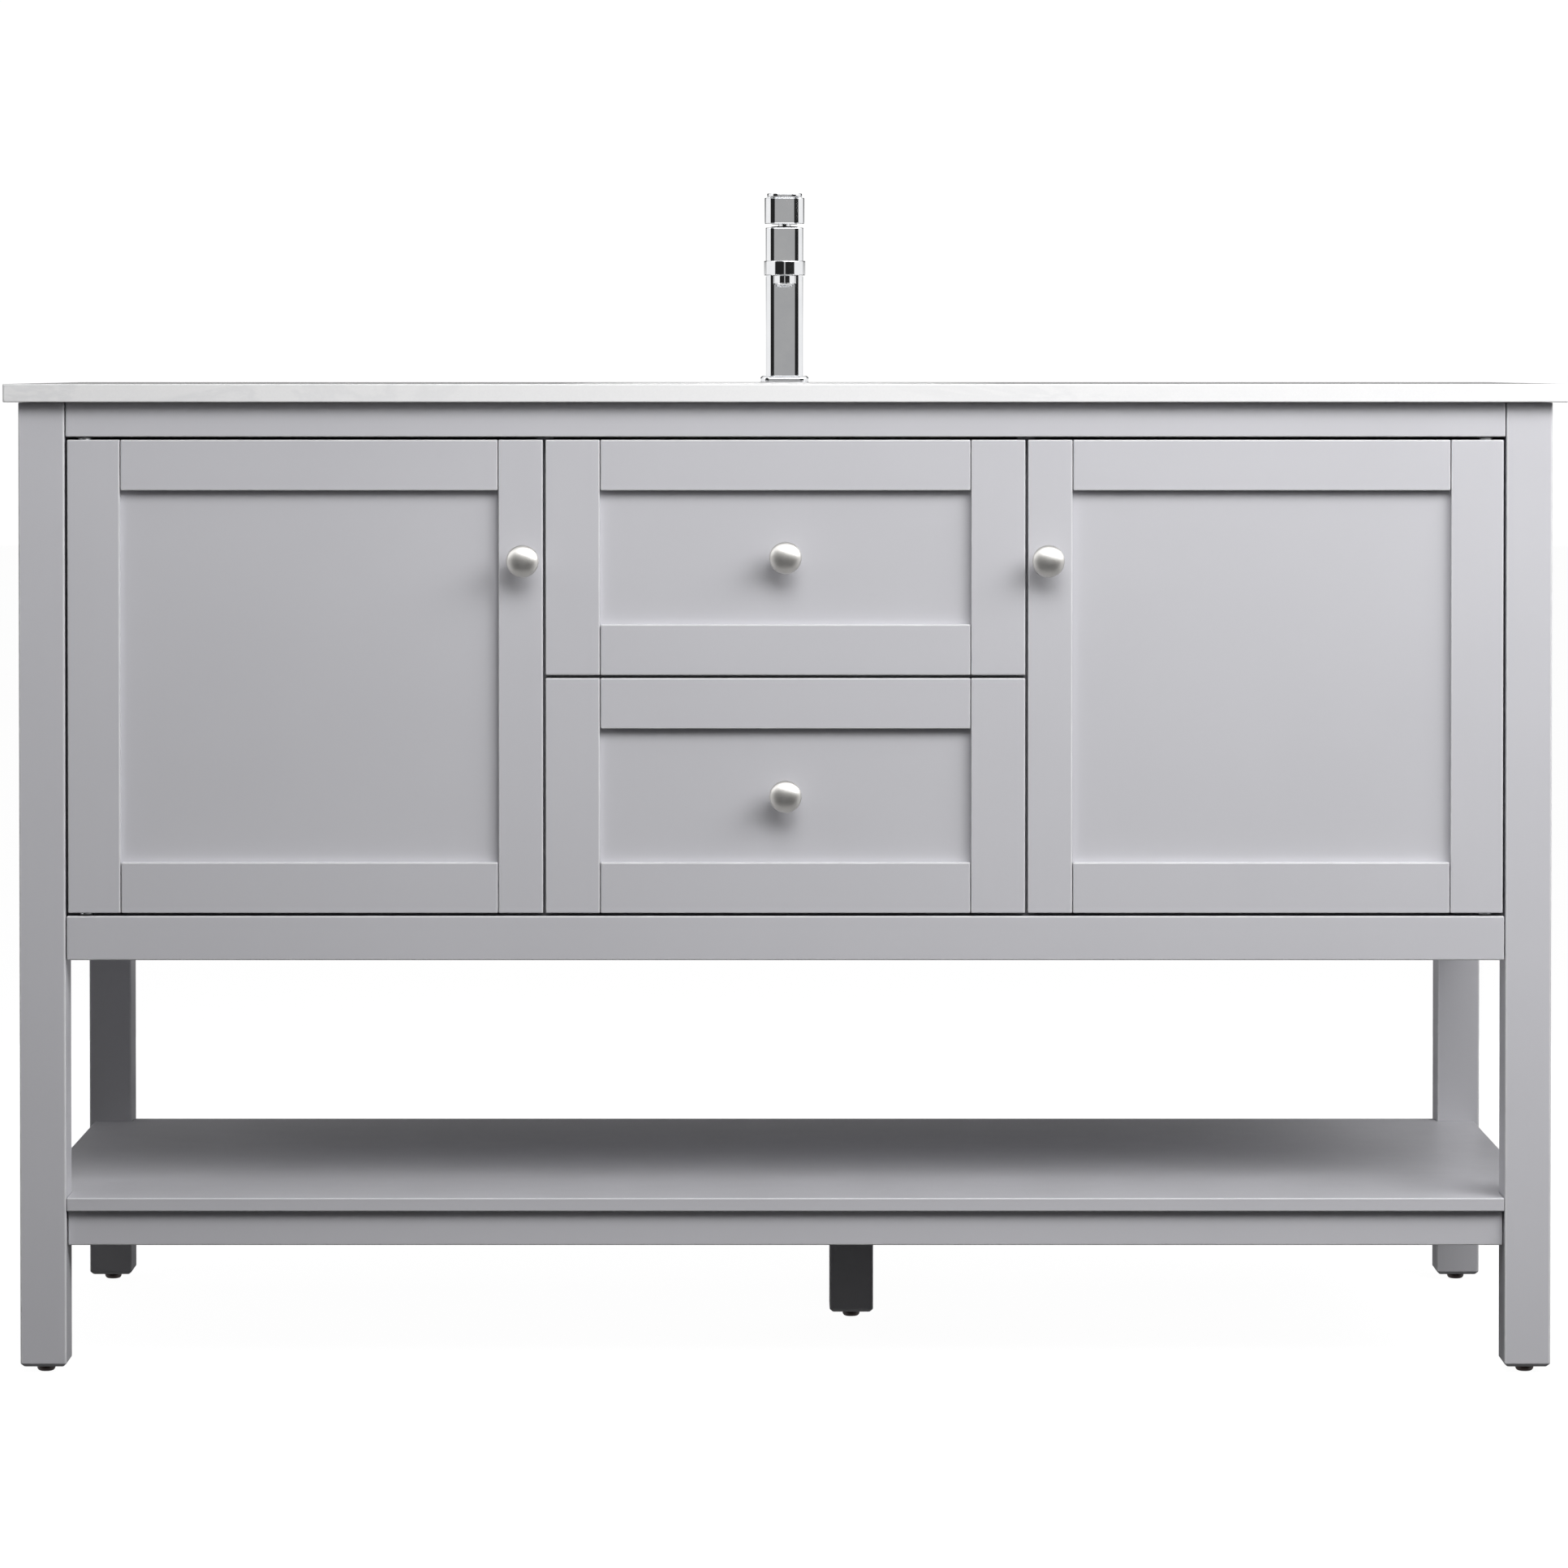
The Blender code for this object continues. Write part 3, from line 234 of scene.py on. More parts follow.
def makePiece(name, shape, body, slot, replaces=(), bevel=None, sharpAngle=38, weighted=True):
    # puts the arrays into a mesh, closes its seams and poles, turns faces outwards and hands it to the frame
    mesh = bpy.data.meshes.new(name)
    mesh.from_pydata(shape["points"].tolist(), [], shape["faces"])
    arris = mesh.attributes.new("arris", "FLOAT", "POINT")
    arris.data.foreach_set("value", shape["arris"].astype(np.float32))
    board = mesh.attributes.new("board", "FLOAT_VECTOR", "POINT")
    board.data.foreach_set("vector", shape["board"].astype(np.float32).ravel())
    shell = bmesh.new()
    shell.from_mesh(mesh)
    bmesh.ops.remove_doubles(shell, verts=shell.verts, dist=2e-6)
    bmesh.ops.dissolve_degenerate(shell, edges=shell.edges, dist=1e-7)
    bmesh.ops.recalc_face_normals(shell, faces=shell.faces)
    shell.to_mesh(mesh)
    shell.free()
    mesh.shade_smooth()
    mesh.set_sharp_from_angle(angle=math.radians(sharpAngle))
    mesh.materials.append(slotFinish[slot])
    piece = bpy.data.objects.new(name, mesh)
    bpy.context.scene.collection.objects.link(piece)
    if bevel:
        rounding = piece.modifiers.new("rounding", "BEVEL")
        rounding.width = bevel
        rounding.segments = 3
        rounding.limit_method = "ANGLE"
        rounding.angle_limit = math.radians(40)
        rounding.use_clamp_overlap = True
    if weighted:
        normals = piece.modifiers.new("flat faces stay flat", "WEIGHTED_NORMAL")
        normals.keep_sharp = True
        normals.weight = 100
    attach(piece, body)
    if replaces:
        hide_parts(*replaces)
    return piece


# finishes

def newFinish(name):
    material = bpy.data.materials.new(name)
    material.use_nodes = True
    nodes = material.node_tree.nodes
    shader = nodes["Principled BSDF"]
    return material, nodes, material.node_tree.links, shader


def addNode(nodes, kind, inputs=None, **settings):
    node = nodes.new(kind)
    for key, value in settings.items():
        setattr(node, key, value)
    for key, value in (inputs or {}).items():
        node.inputs[key].default_value = value
    return node


def noiseAt(nodes, links, source, scale, detail=3.0, roughness=0.5, distortion=0.0, stretch=(1, 1, 1)):
    # noise on a source vector, stretched first when the pattern follows a direction
    if stretch != (1, 1, 1):
        mapping = addNode(nodes, "ShaderNodeMapping", {"Scale": stretch})
        links.new(source, mapping.inputs["Vector"])
        source = mapping.outputs["Vector"]
    noise = addNode(nodes, "ShaderNodeTexNoise", {"Scale": scale, "Detail": detail, "Roughness": roughness,
                                                  "Distortion": distortion})
    links.new(source, noise.inputs["Vector"])
    return noise.outputs["Fac"]


def rampOf(nodes, links, source, stops):
    # colour ramp with stops of (position, grey or colour)
    ramp = addNode(nodes, "ShaderNodeValToRGB")
    elements = ramp.color_ramp.elements
    while len(elements) < len(stops):
        elements.new(0.5)
    for element, (position, colour) in zip(elements, stops):
        element.position = position
        element.color = (colour, colour, colour, 1) if isinstance(colour, (int, float)) else (*colour, 1)
    links.new(source, ramp.inputs["Fac"])
    return ramp.outputs["Color"]


def rangeOf(nodes, links, source, low, high, fromLow=0.3, fromHigh=0.7):
    span = addNode(nodes, "ShaderNodeMapRange", {"From Min": fromLow, "From Max": fromHigh,
                                                 "To Min": low, "To Max": high})
    links.new(source, span.inputs["Value"])
    return span.outputs["Result"]


def mixOf(nodes, links, factor, a, b, blend="MIX"):
    mix = addNode(nodes, "ShaderNodeMix", data_type="RGBA", blend_type=blend)
    for socket, value in ((mix.inputs["Factor"], factor), (mix.inputs[6], a), (mix.inputs[7], b)):
        if isinstance(value, bpy.types.NodeSocket):
            links.new(value, socket)
        elif isinstance(value, (int, float)):
            socket.default_value = value
        else:
            socket.default_value = (*value, 1)
    return mix.outputs[2]


def mathOf(nodes, links, operation, *values):
    # one sum on sockets or fixed numbers
    node = addNode(nodes, "ShaderNodeMath", operation=operation)
    for socket, value in zip(node.inputs, values):
        if isinstance(value, bpy.types.NodeSocket):
            links.new(value, socket)
        else:
            socket.default_value = value
    return node.outputs[0]


def bumpOf(nodes, links, height, distance, strength=1.0, below=None):
    bump = addNode(nodes, "ShaderNodeBump", {"Strength": strength, "Distance": distance})
    links.new(height, bump.inputs["Height"])
    if below is not None:
        links.new(below, bump.inputs["Normal"])
    return bump.outputs["Normal"]


def objectPlace(nodes):
    return addNode(nodes, "ShaderNodeTexCoord").outputs["Object"]


# edge is a lighter grey painted onto the arrises as a highlight
paintLook = {"colour": (0.542, 0.540, 0.569), "edge": (0.66, 0.66, 0.675), "roughness": (0.30, 0.40)}


def makeGreyPaint():
    # sprayed satin lacquer: faint cloudiness, orange peel a millimetre wide, dust nibs, and a painted
    # highlight: every arris mixed towards a lighter grey, patchy along its length
    material, nodes, links, shader = newFinish("grey paint")
    place = objectPlace(nodes)
    cloud = noiseAt(nodes, links, place, 2.6, detail=4)
    dark = tuple(0.975 * c for c in paintLook["colour"])
    light = tuple(1.02 * c for c in paintLook["colour"])
    body = rampOf(nodes, links, cloud, [(0.3, dark), (0.7, light)])
    arris = addNode(nodes, "ShaderNodeAttribute", attribute_name="arris").outputs["Fac"]
    # painted highlight: every arris is mixed 45 to 95 percent towards the lighter edge grey, more where the
    # noise is high
    highlightPatches = noiseAt(nodes, links, place, 60, detail=2)
    arrisHighlight = mathOf(nodes, links, "MULTIPLY", arris, rangeOf(nodes, links, highlightPatches, 0.45, 0.95))
    links.new(mixOf(nodes, links, arrisHighlight, body, paintLook["edge"]), shader.inputs["Base Color"])
    sheen = noiseAt(nodes, links, place, 18, detail=5, roughness=0.6)
    links.new(rangeOf(nodes, links, sheen, *paintLook["roughness"]), shader.inputs["Roughness"])
    peel = noiseAt(nodes, links, place, 620, detail=1)
    ripple = noiseAt(nodes, links, place, 55, detail=2)
    normal = bumpOf(nodes, links, ripple, 0.00012, 0.35)
    normal = bumpOf(nodes, links, peel, 0.00002, 0.7, below=normal)
    links.new(normal, shader.inputs["Normal"])
    shader.inputs["Specular IOR Level"].default_value = 0.45
    return material


stoneLook = {"colour": (0.825, 0.824, 0.826), "vein": (0.745, 0.747, 0.756), "fleck": (0.775, 0.775, 0.781)}


def makeWhiteStone():
    # polished quartz: soft grey veins where two drifting fields cross their middle value, and fine grains
    material, nodes, links, shader = newFinish("white stone")
    place = objectPlace(nodes)
    drift = noiseAt(nodes, links, place, 5.5, detail=7, roughness=0.62, distortion=1.4,
                    stretch=(0.55, 1.4, 1.4))
    vein = rampOf(nodes, links, drift, [(0.462, 0.0), (0.497, 0.75), (0.506, 0.75), (0.55, 0.0)])
    fade = rampOf(nodes, links, noiseAt(nodes, links, place, 3.1, detail=3), [(0.42, 0.05), (0.66, 1.0)])
    shown = mathOf(nodes, links, "MULTIPLY", vein, fade)
    grains = addNode(nodes, "ShaderNodeTexVoronoi", {"Scale": 650.0, "Randomness": 1.0})
    links.new(place, grains.inputs["Vector"])
    grain = rampOf(nodes, links, grains.outputs["Color"], [(0.1, 0.0), (0.9, 0.35)])
    body = mixOf(nodes, links, grain, stoneLook["colour"], stoneLook["fleck"])
    links.new(mixOf(nodes, links, shown, body, stoneLook["vein"]), shader.inputs["Base Color"])
    polish = noiseAt(nodes, links, place, 26, detail=4)
    links.new(rangeOf(nodes, links, polish, 0.10, 0.19), shader.inputs["Roughness"])
    links.new(bumpOf(nodes, links, noiseAt(nodes, links, place, 240, detail=3), 0.00001, 0.5),
              shader.inputs["Normal"])
    return material


def makeGlazedCeramic():
    # vitreous glaze: nearly even white, pooled slightly darker, with long waves and rare pinholes
    material, nodes, links, shader = newFinish("glazed ceramic")
    place = objectPlace(nodes)
    pool = noiseAt(nodes, links, place, 9, detail=3)
    links.new(rampOf(nodes, links, pool, [(0.3, (0.84, 0.845, 0.84)), (0.7, (0.89, 0.89, 0.885))]),
              shader.inputs["Base Color"])
    links.new(rangeOf(nodes, links, noiseAt(nodes, links, place, 40, detail=3), 0.05, 0.11),
              shader.inputs["Roughness"])
    waves = bumpOf(nodes, links, noiseAt(nodes, links, place, 22, detail=2), 0.0004, 0.12)
    holes = addNode(nodes, "ShaderNodeTexVoronoi", {"Scale": 110.0})
    links.new(place, holes.inputs["Vector"])
    pin = rampOf(nodes, links, holes.outputs["Distance"], [(0.03, 0.0), (0.06, 1.0)])
    links.new(bumpOf(nodes, links, pin, 0.00005, 0.3, below=waves), shader.inputs["Normal"])
    shader.inputs["Coat Weight"].default_value = 0.4
    shader.inputs["Coat Roughness"].default_value = 0.03
    return material


def makeChrome():
    # plated casting: mirror with faint casting waves under the plate and finger-wiped haze
    material, nodes, links, shader = newFinish("chrome")
    place = objectPlace(nodes)
    haze = noiseAt(nodes, links, place, 34, detail=6, roughness=0.65)
    links.new(rampOf(nodes, links, haze, [(0.3, (0.80, 0.81, 0.83)), (0.7, (0.87, 0.875, 0.885))]),
              shader.inputs["Base Color"])
    links.new(rangeOf(nodes, links, haze, 0.02, 0.07), shader.inputs["Roughness"])
    links.new(bumpOf(nodes, links, noiseAt(nodes, links, place, 46, detail=2), 0.0003, 0.012),
              shader.inputs["Normal"])
    shader.inputs["Metallic"].default_value = 1.0
    return material


def makeSatinNickel():
    # spun and brushed: hair-fine rings along the turned profile, stretched highlights
    material, nodes, links, shader = newFinish("satin nickel")
    ring = addNode(nodes, "ShaderNodeAttribute", attribute_name="board").outputs["Vector"]
    place = objectPlace(nodes)
    brush = noiseAt(nodes, links, ring, 1.0, detail=4, roughness=0.7, stretch=(5200, 0, 0))
    tint = noiseAt(nodes, links, place, 70, detail=3)
    links.new(rampOf(nodes, links, tint, [(0.3, (0.590, 0.580, 0.560)), (0.7, (0.680, 0.665, 0.643))]),
              shader.inputs["Base Color"])
    links.new(rangeOf(nodes, links, brush, 0.34, 0.48), shader.inputs["Roughness"])
    links.new(bumpOf(nodes, links, brush, 0.00003, 0.35), shader.inputs["Normal"])
    shader.inputs["Metallic"].default_value = 1.0
    shader.inputs["Anisotropic"].default_value = 0.55
    return material


def makeZincPlate():
    # bright zinc: small crystal spangles in tone and roughness
    material, nodes, links, shader = newFinish("zinc plate")
    place = objectPlace(nodes)
    spangle = addNode(nodes, "ShaderNodeTexVoronoi", {"Scale": 420.0, "Randomness": 1.0})
    links.new(place, spangle.inputs["Vector"])
    tone = rampOf(nodes, links, spangle.outputs["Color"], [(0.1, (0.50, 0.51, 0.53)),
                                                           (0.9, (0.68, 0.69, 0.70))])
    links.new(tone, shader.inputs["Base Color"])
    links.new(rangeOf(nodes, links, noiseAt(nodes, links, place, 90, detail=5), 0.26, 0.44),
              shader.inputs["Roughness"])
    links.new(bumpOf(nodes, links, noiseAt(nodes, links, place, 900, detail=2), 0.00001, 0.5),
              shader.inputs["Normal"])
    shader.inputs["Metallic"].default_value = 1.0
    return material


def makeNylon(name, low, high):
    # moulded nylon: spark-eroded grain and a slight cloud from the moulding
    material, nodes, links, shader = newFinish(name)
    place = objectPlace(nodes)
    links.new(rampOf(nodes, links, noiseAt(nodes, links, place, 120, detail=3), [(0.3, low), (0.7, high)]),
              shader.inputs["Base Color"])
    links.new(rangeOf(nodes, links, noiseAt(nodes, links, place, 260, detail=3), 0.38, 0.58),
              shader.inputs["Roughness"])
    links.new(bumpOf(nodes, links, noiseAt(nodes, links, place, 1500, detail=2), 0.00004, 0.6),
              shader.inputs["Normal"])
    return material


plyLook = {"face": (0.66, 0.50, 0.32), "band": (0.52, 0.37, 0.22), "core": (0.36, 0.24, 0.13), "layers": 7}


def makeBirchPly():
    # lacquered plywood: long grain on the faces, alternate layers across the thickness on the edges
    material, nodes, links, shader = newFinish("birch ply")
    board = addNode(nodes, "ShaderNodeAttribute", attribute_name="board").outputs["Vector"]
    grain = noiseAt(nodes, links, board, 1.0, detail=7, roughness=0.62, distortion=0.6, stretch=(5, 75, 0))
    pores = noiseAt(nodes, links, board, 1.0, detail=3, stretch=(60, 1500, 0))
    face = rampOf(nodes, links, grain, [(0.30, plyLook["band"]), (0.5, plyLook["face"]),
                                        (0.74, (0.72, 0.57, 0.38))])
    face = mixOf(nodes, links, rangeOf(nodes, links, pores, 0.0, 0.22, 0.5, 0.72), face, plyLook["band"])
    parts = addNode(nodes, "ShaderNodeSeparateXYZ")
    links.new(board, parts.inputs[0])
    through = parts.outputs["Z"]
    inLayer = mathOf(nodes, links, "MODULO", mathOf(nodes, links, "MULTIPLY", through, plyLook["layers"]),
                     2.0)
    edgeTone = rampOf(nodes, links, inLayer, [(0.0, plyLook["face"]), (0.49, plyLook["face"]),
                                                        (0.52, plyLook["core"]), (0.98, plyLook["core"])])
    away = mathOf(nodes, links, "ABSOLUTE", mathOf(nodes, links, "SUBTRACT", through, 0.5))
    onEdge = rangeOf(nodes, links, away, 1.0, 0.0, 0.47, 0.485)
    mixed = mixOf(nodes, links, onEdge, face, edgeTone)
    links.new(mixed, shader.inputs["Base Color"])
    links.new(rangeOf(nodes, links, grain, 0.38, 0.52), shader.inputs["Roughness"])
    links.new(bumpOf(nodes, links, pores, 0.00006, 0.4), shader.inputs["Normal"])
    return material


slotFinish = {
    "grey_paint": makeGreyPaint(),
    "white_stone": makeWhiteStone(),
    "glazed_ceramic": makeGlazedCeramic(),
    "chrome": makeChrome(),
    "satin_nickel": makeSatinNickel(),
    "zinc_plate": makeZincPlate(),
    "dark_nylon": makeNylon("dark nylon", (0.030, 0.016, 0.014), (0.055, 0.030, 0.026)),
    "black_nylon": makeNylon("black nylon", (0.016, 0.016, 0.017), (0.034, 0.034, 0.036)),
    "birch_ply": makeBirchPly(),
}
for part in frame["record"]["subparts"]:
    node = frame["nodes"][part["node"]]
    node.data.materials.clear()
    node.data.materials.append(slotFinish[part["material_slot"]])
print("finishes made")


# legs, rails and panels of the cabinet

# air that the frame leaves between two pieces that touch
clearance = 0.0003

cabinetLook = {"guard": 0.0008, "legArris": 0.0013, "railArris": 0.0011, "panelArris": 0.0008,
               "footChamfer": 0.003,
               "seam": 0.0007, "tenonSet": 0.0055, "tenonEnd": 0.0012,
               "tenonReach": 0.006, "tenonArris": 0.0003}


def legShape(low, high):
    # square post with rounded arrises; rows draw in along a short chamfer at the foot
    chamfer = cabinetLook["footChamfer"]
    arris = cabinetLook["legArris"]
    centre = (low + high)[:2] / 2
    line = easedLine([(chamfer + 0.002, low[2]), (chamfer, low[2]), (0, low[2] + chamfer), (0, high[2]),
                      (0.002, high[2])], [0, 0.0008, 0.0008, 0.0008, 0], steps=3)
    angle, signs = quarterTurns(4)
    half = (high - low)[:2] / 2
    guard = cabinetLook["guard"]
    rings, edges = [], []
    for inset, height in line:
        arc = signs[:, None] * (half - inset - arris) + arris * onCircle(angle)
        ahead = arc[:, :1] - guard * alongCircle(angle[:, :1])
        behind = arc[:, -1:] + guard * alongCircle(angle[:, -1:])
        ring = np.concatenate([ahead, arc, behind], axis=1).reshape(-1, 2) + centre
        rings.append(atHeight(ring, height))
        edges.append(np.tile([0, 1, 1, 1, 1, 1, 0], 4) * (inset < 1e-6))
    rings = np.array(rings)
    board = np.stack([rings[..., 2], rings[..., 0], 0 * rings[..., 1]], axis=-1)
    return shapeFromRings(rings, edge=np.array(edges), board=board)


for legName in ("leg_front_left", "leg_front_right", "leg_rear_left", "leg_rear_right", "leg_centre"):
    makePiece(legName + "_post", legShape(*nodeBox(legName)), "cabinet", "grey_paint", [legName])


def shoulderedBoard(low, high, arris, shouldered):
    # a rounded board; a front rail stops a hairline short of the legs and its tenons run on inside
    if not shouldered:
        return roundedBoard(low, high, arris=arris)
    seam, inset, end = cabinetLook["seam"], cabinetLook["tenonSet"], cabinetLook["tenonEnd"]
    body = roundedBoard(low + Vector((seam, 0, 0)), high - Vector((seam, 0, 0)), arris=arris)
    reach = Vector((cabinetLook["tenonReach"], 0, 0))
    left = (low + Vector((0, inset, end)), Vector((low[0], high[1] - inset, high[2] - end)) + reach)
    right = (Vector((high[0], low[1] + inset, low[2] + end)) - reach, high - Vector((0, inset, end)))
    return joined([body] + [roundedBoard(a, b, arris=cabinetLook["tenonArris"]) for a, b in (left, right)])


for boardName in ("top_rail_front", "bottom_rail_front", "top_rail_rear", "side_panel_left",
                  "side_panel_right",
                  "shelf_rail_front", "shelf_rail_rear"):
    boardArris = cabinetLook["panelArris"] if boardName.startswith("side") else cabinetLook["railArris"]
    makePiece(boardName + "_board", shoulderedBoard(*nodeBox(boardName), boardArris,
                                                    boardName.endswith("front")),
              "cabinet", "grey_paint", [boardName])


def betweenLegs(sideX, front, back):
    # plan outline of a board that fits round the four legs
    frontLow, frontHigh = nodeBox("leg_front_right")
    rearLow = nodeBox("leg_rear_right")[0]
    gap = clearance
    innerX = frontLow[0] - gap
    right = [(innerX, front), (innerX, frontHigh[1] + gap), (sideX, frontHigh[1] + gap),
             (sideX, rearLow[1] - gap), (innerX, rearLow[1] - gap), (innerX, back)]
    return right + [(-x, y) for x, y in reversed(right)]


shelfLow, shelfHigh = nodeBox("shelf")
makePiece("shelf_board", outlinePrism(betweenLegs(shelfHigh[0], shelfLow[1], shelfHigh[1]), shelfLow[2],
                                      shelfHigh[2]),
          "cabinet", "grey_paint", ["shelf"], bevel=0.0011)


def openBack():
    # thin panel whose middle is open for the pipes
    low, high = nodeBox("back_panel")
    centre = (low + high) / 2
    half = (high - low) / 2
    opening = {"halfWidth": 0.18, "low": 0.444, "high": 0.744}
    r = 0.0008
    outer = easedLine([(0.01, low[1]), (0, low[1]), (0, high[1]), (0.01, high[1])], [0, r, r, 0], steps=2)
    inner = easedLine([(0.01, high[1]), (0, high[1]), (0, low[1]), (0.01, low[1])], [0, r, r, 0], steps=2)
    middleZ = (opening["low"] + opening["high"]) / 2
    halfZ = (opening["high"] - opening["low"]) / 2
    rings = []
    for inset, y in outer:
        ring = cornerRing(half[0] - inset, half[2] - inset, 0.001, 3) + np.array([centre[0], centre[2]])
        rings.append(atHeight(ring, y)[:, [0, 2, 1]])
    for inset, y in inner:
        ring = cornerRing(opening["halfWidth"] + inset, halfZ + inset, 0.012, 3) + np.array([0, middleZ])
        rings.append(atHeight(ring, y)[:, [0, 2, 1]])
    return shapeFromRings(np.array(rings), closedRows=True)


makePiece("back_panel_sheet", openBack(), "cabinet", "grey_paint", ["back_panel"])


def screwHead(centre, direction, radius=0.0035, height=0.0014, flush=False):
    # domed or flush head with a four-armed recess: the recess rows swing in and out four times a turn
    top = 0.0002 if flush else height
    profile = [(radius * 0.6, -0.002), (radius * 0.98, 0.0), (radius, 0.25 * top), (radius * 0.86, 0.8 * top),
               (radius * 0.62, top), (radius * 0.5, top), (radius * 0.42, top - 0.0011), (0, top - 0.0013)]
    return turnedShape(profile, centre, direction, steps=24, lobes=(4, [0, 0, 0, 0, 0, 0.32, 0.34, 0]))


def backScrews():
    low, high = nodeBox("back_panel")
    xs = np.linspace(low[0] + 0.012, high[0] - 0.012, 9)
    zs = np.linspace(low[2] + 0.012, high[2] - 0.012, 5)[1:-1]
    places = [(x, z) for x in xs for z in (low[2] + 0.009, high[2] - 0.02)]
    places += [(x, z) for x in (low[0] + 0.009, high[0] - 0.009) for z in zs]
    return joined([screwHead((x, high[1], z), (0, 1, 0), radius=0.003, flush=True) for x, z in places])


makePiece("back_panel_screws", backScrews(), "cabinet", "zinc_plate")

glideLook = {"radius": 0.008, "lip": 0.0068}
for place in ("front_left", "front_right", "rear_left", "rear_right", "centre"):
    glideLow, glideHigh = nodeBox("glide_" + place)
    r = glideLook["radius"]
    tall = glideHigh[2] - glideLow[2]
    foot = easedLine([(0, 0), (r * 0.8, 0), (r, tall * 0.38), (r, tall * 0.72),
                      (glideLook["lip"], tall * 0.74),
                      (glideLook["lip"], tall), (0, tall)], [0, 0.0014, 0.0012, 0.0002, 0.0002, 0.0003, 0],
                      steps=4)
    middle = (glideLow + glideHigh) / 2
    makePiece(f"glide_{place}_foot", turnedShape(foot, (middle[0], middle[1], glideLow[2]), steps=40),
              "cabinet",
              "dark_nylon", ["glide_" + place])


def topCleats():
    # battens that carry the worktop, along the insides of the side panels
    shapes = []
    for side, sign in (("left", -1), ("right", 1)):
        low, high = nodeBox("side_panel_" + side)
        inner = high[0] if sign < 0 else low[0]
        x = sorted([inner, inner - sign * 0.019])
        shapes.append(roundedBoard((x[0], -0.19, high[2] - 0.0195), (x[1], 0.22, high[2] - 0.0005),
                                   arris=0.0008, shift=sign * 0.7))
    return joined(shapes)


makePiece("worktop_cleats", topCleats(), "cabinet", "birch_ply")

# cross rail behind the gap between the two drawers
crossRailLook = {"low": 0.598, "high": 0.6195, "thick": 0.022, "behind": 0.001, "arris": 0.0008}
railStart = (nodeBox("partition_left")[1][0] + clearance,
             nodeBox("upper_drawer_frame")[1][1] + crossRailLook["behind"], crossRailLook["low"])
railEnd = (nodeBox("partition_right")[0][0] - clearance, railStart[1] + crossRailLook["thick"],
           crossRailLook["high"])
makePiece("drawer_cross_rail", roundedBoard(railStart, railEnd, arris=crossRailLook["arris"]), "cabinet",
          "grey_paint")
print("cabinet boards made")


# door and drawer fronts

frontLook = {"arris": 0.0009, "seam": 0.0008, "tenonSet": 0.0060, "tenonEnd": 0.0012, "tenonReach": 0.006,
             "knobSteps": 72,
             "railHeight": 0.0445, "hingeStile": 0.046, "latchStile": 0.039, "drawerStile": 0.0475}


def frontBoards(low, high, leftStile, rightStile):
    # two stiles the full height with two rails between them, a hairline apart, and tenons inside the joints
    seam, railHeight = frontLook["seam"], frontLook["railHeight"]
    y0, y1 = low[1], high[1]
    x0, x1 = low[0] + leftStile, high[0] - rightStile
    boards = [
        ((low[0], y0, low[2]), (x0, y1, high[2])),
        ((x1, y0, low[2]), (high[0], y1, high[2])),
        ((x0 + seam, y0, high[2] - railHeight), (x1 - seam, y1, high[2])),
        ((x0 + seam, y0, low[2]), (x1 - seam, y1, low[2] + railHeight)),
    ]
    inset, end, reach = frontLook["tenonSet"], frontLook["tenonEnd"], frontLook["tenonReach"]
    tenons = [((x - reach, y0 + inset, z + end), (x + reach, y1 - inset, z + railHeight - end))
              for x in (x0, x1) for z in (low[2], high[2] - railHeight)]
    shapes = [roundedBoard(a, b, arris=frontLook["arris"], shift=0.31 * n) for n, (a, b) in enumerate(boards)]
    return joined(shapes + [roundedBoard(a, b, arris=cabinetLook["tenonArris"]) for a, b in tenons])


knobLook = {"radius": 0.01425, "out": 0.028, "dome": 0.0062, "rim": 0.0022, "foot": 0.0070, "neck": 0.0048}


def knobShape(centre):
    # turned knob: round foot, waisted neck, thin rim and shallow dome
    k = knobLook
    out = k["out"]
    under = out - k["dome"] - k["rim"]
    neckRise = np.linspace(0, 1, 14)
    neck = np.column_stack([k["neck"] + (0.0128 - k["neck"]) * neckRise ** 2.6,
                            0.0042 + (under - 0.0042) * neckRise])
    foot = easedLine([(k["foot"] - 0.0008, 0.0003), (k["foot"], 0.0009), (k["foot"] - 0.0003, 0.0022),
                      (k["neck"] + 0.0002, 0.0036), (k["neck"], 0.0042)], [0, 0.0004, 0.0008, 0.0008, 0],
                      steps=3)
    rim = easedLine([(0.0128, under), (k["radius"], under + 0.0003), (k["radius"], under + k["rim"]),
                     (k["radius"] * 0.95, out - k["dome"] * 0.72)], [0, 0.0006, 0.0010, 0], steps=4)
    turn = np.linspace(math.acos(0.95), math.pi / 2, 22)
    domeRise = np.sin(turn) ** 1.15
    domeRise = (domeRise - domeRise[0]) / (1 - domeRise[0])
    dome = np.column_stack([k["radius"] * np.cos(turn), out - k["dome"] * 0.72 * (1 - domeRise)])
    dome[-1, 0] = 0
    profile = np.concatenate([[(0, 0.0003)], foot, neck[1:], rim[1:], dome[1:]])
    return turnedShape(profile, centre, (0, -1, 0), steps=frontLook["knobSteps"])


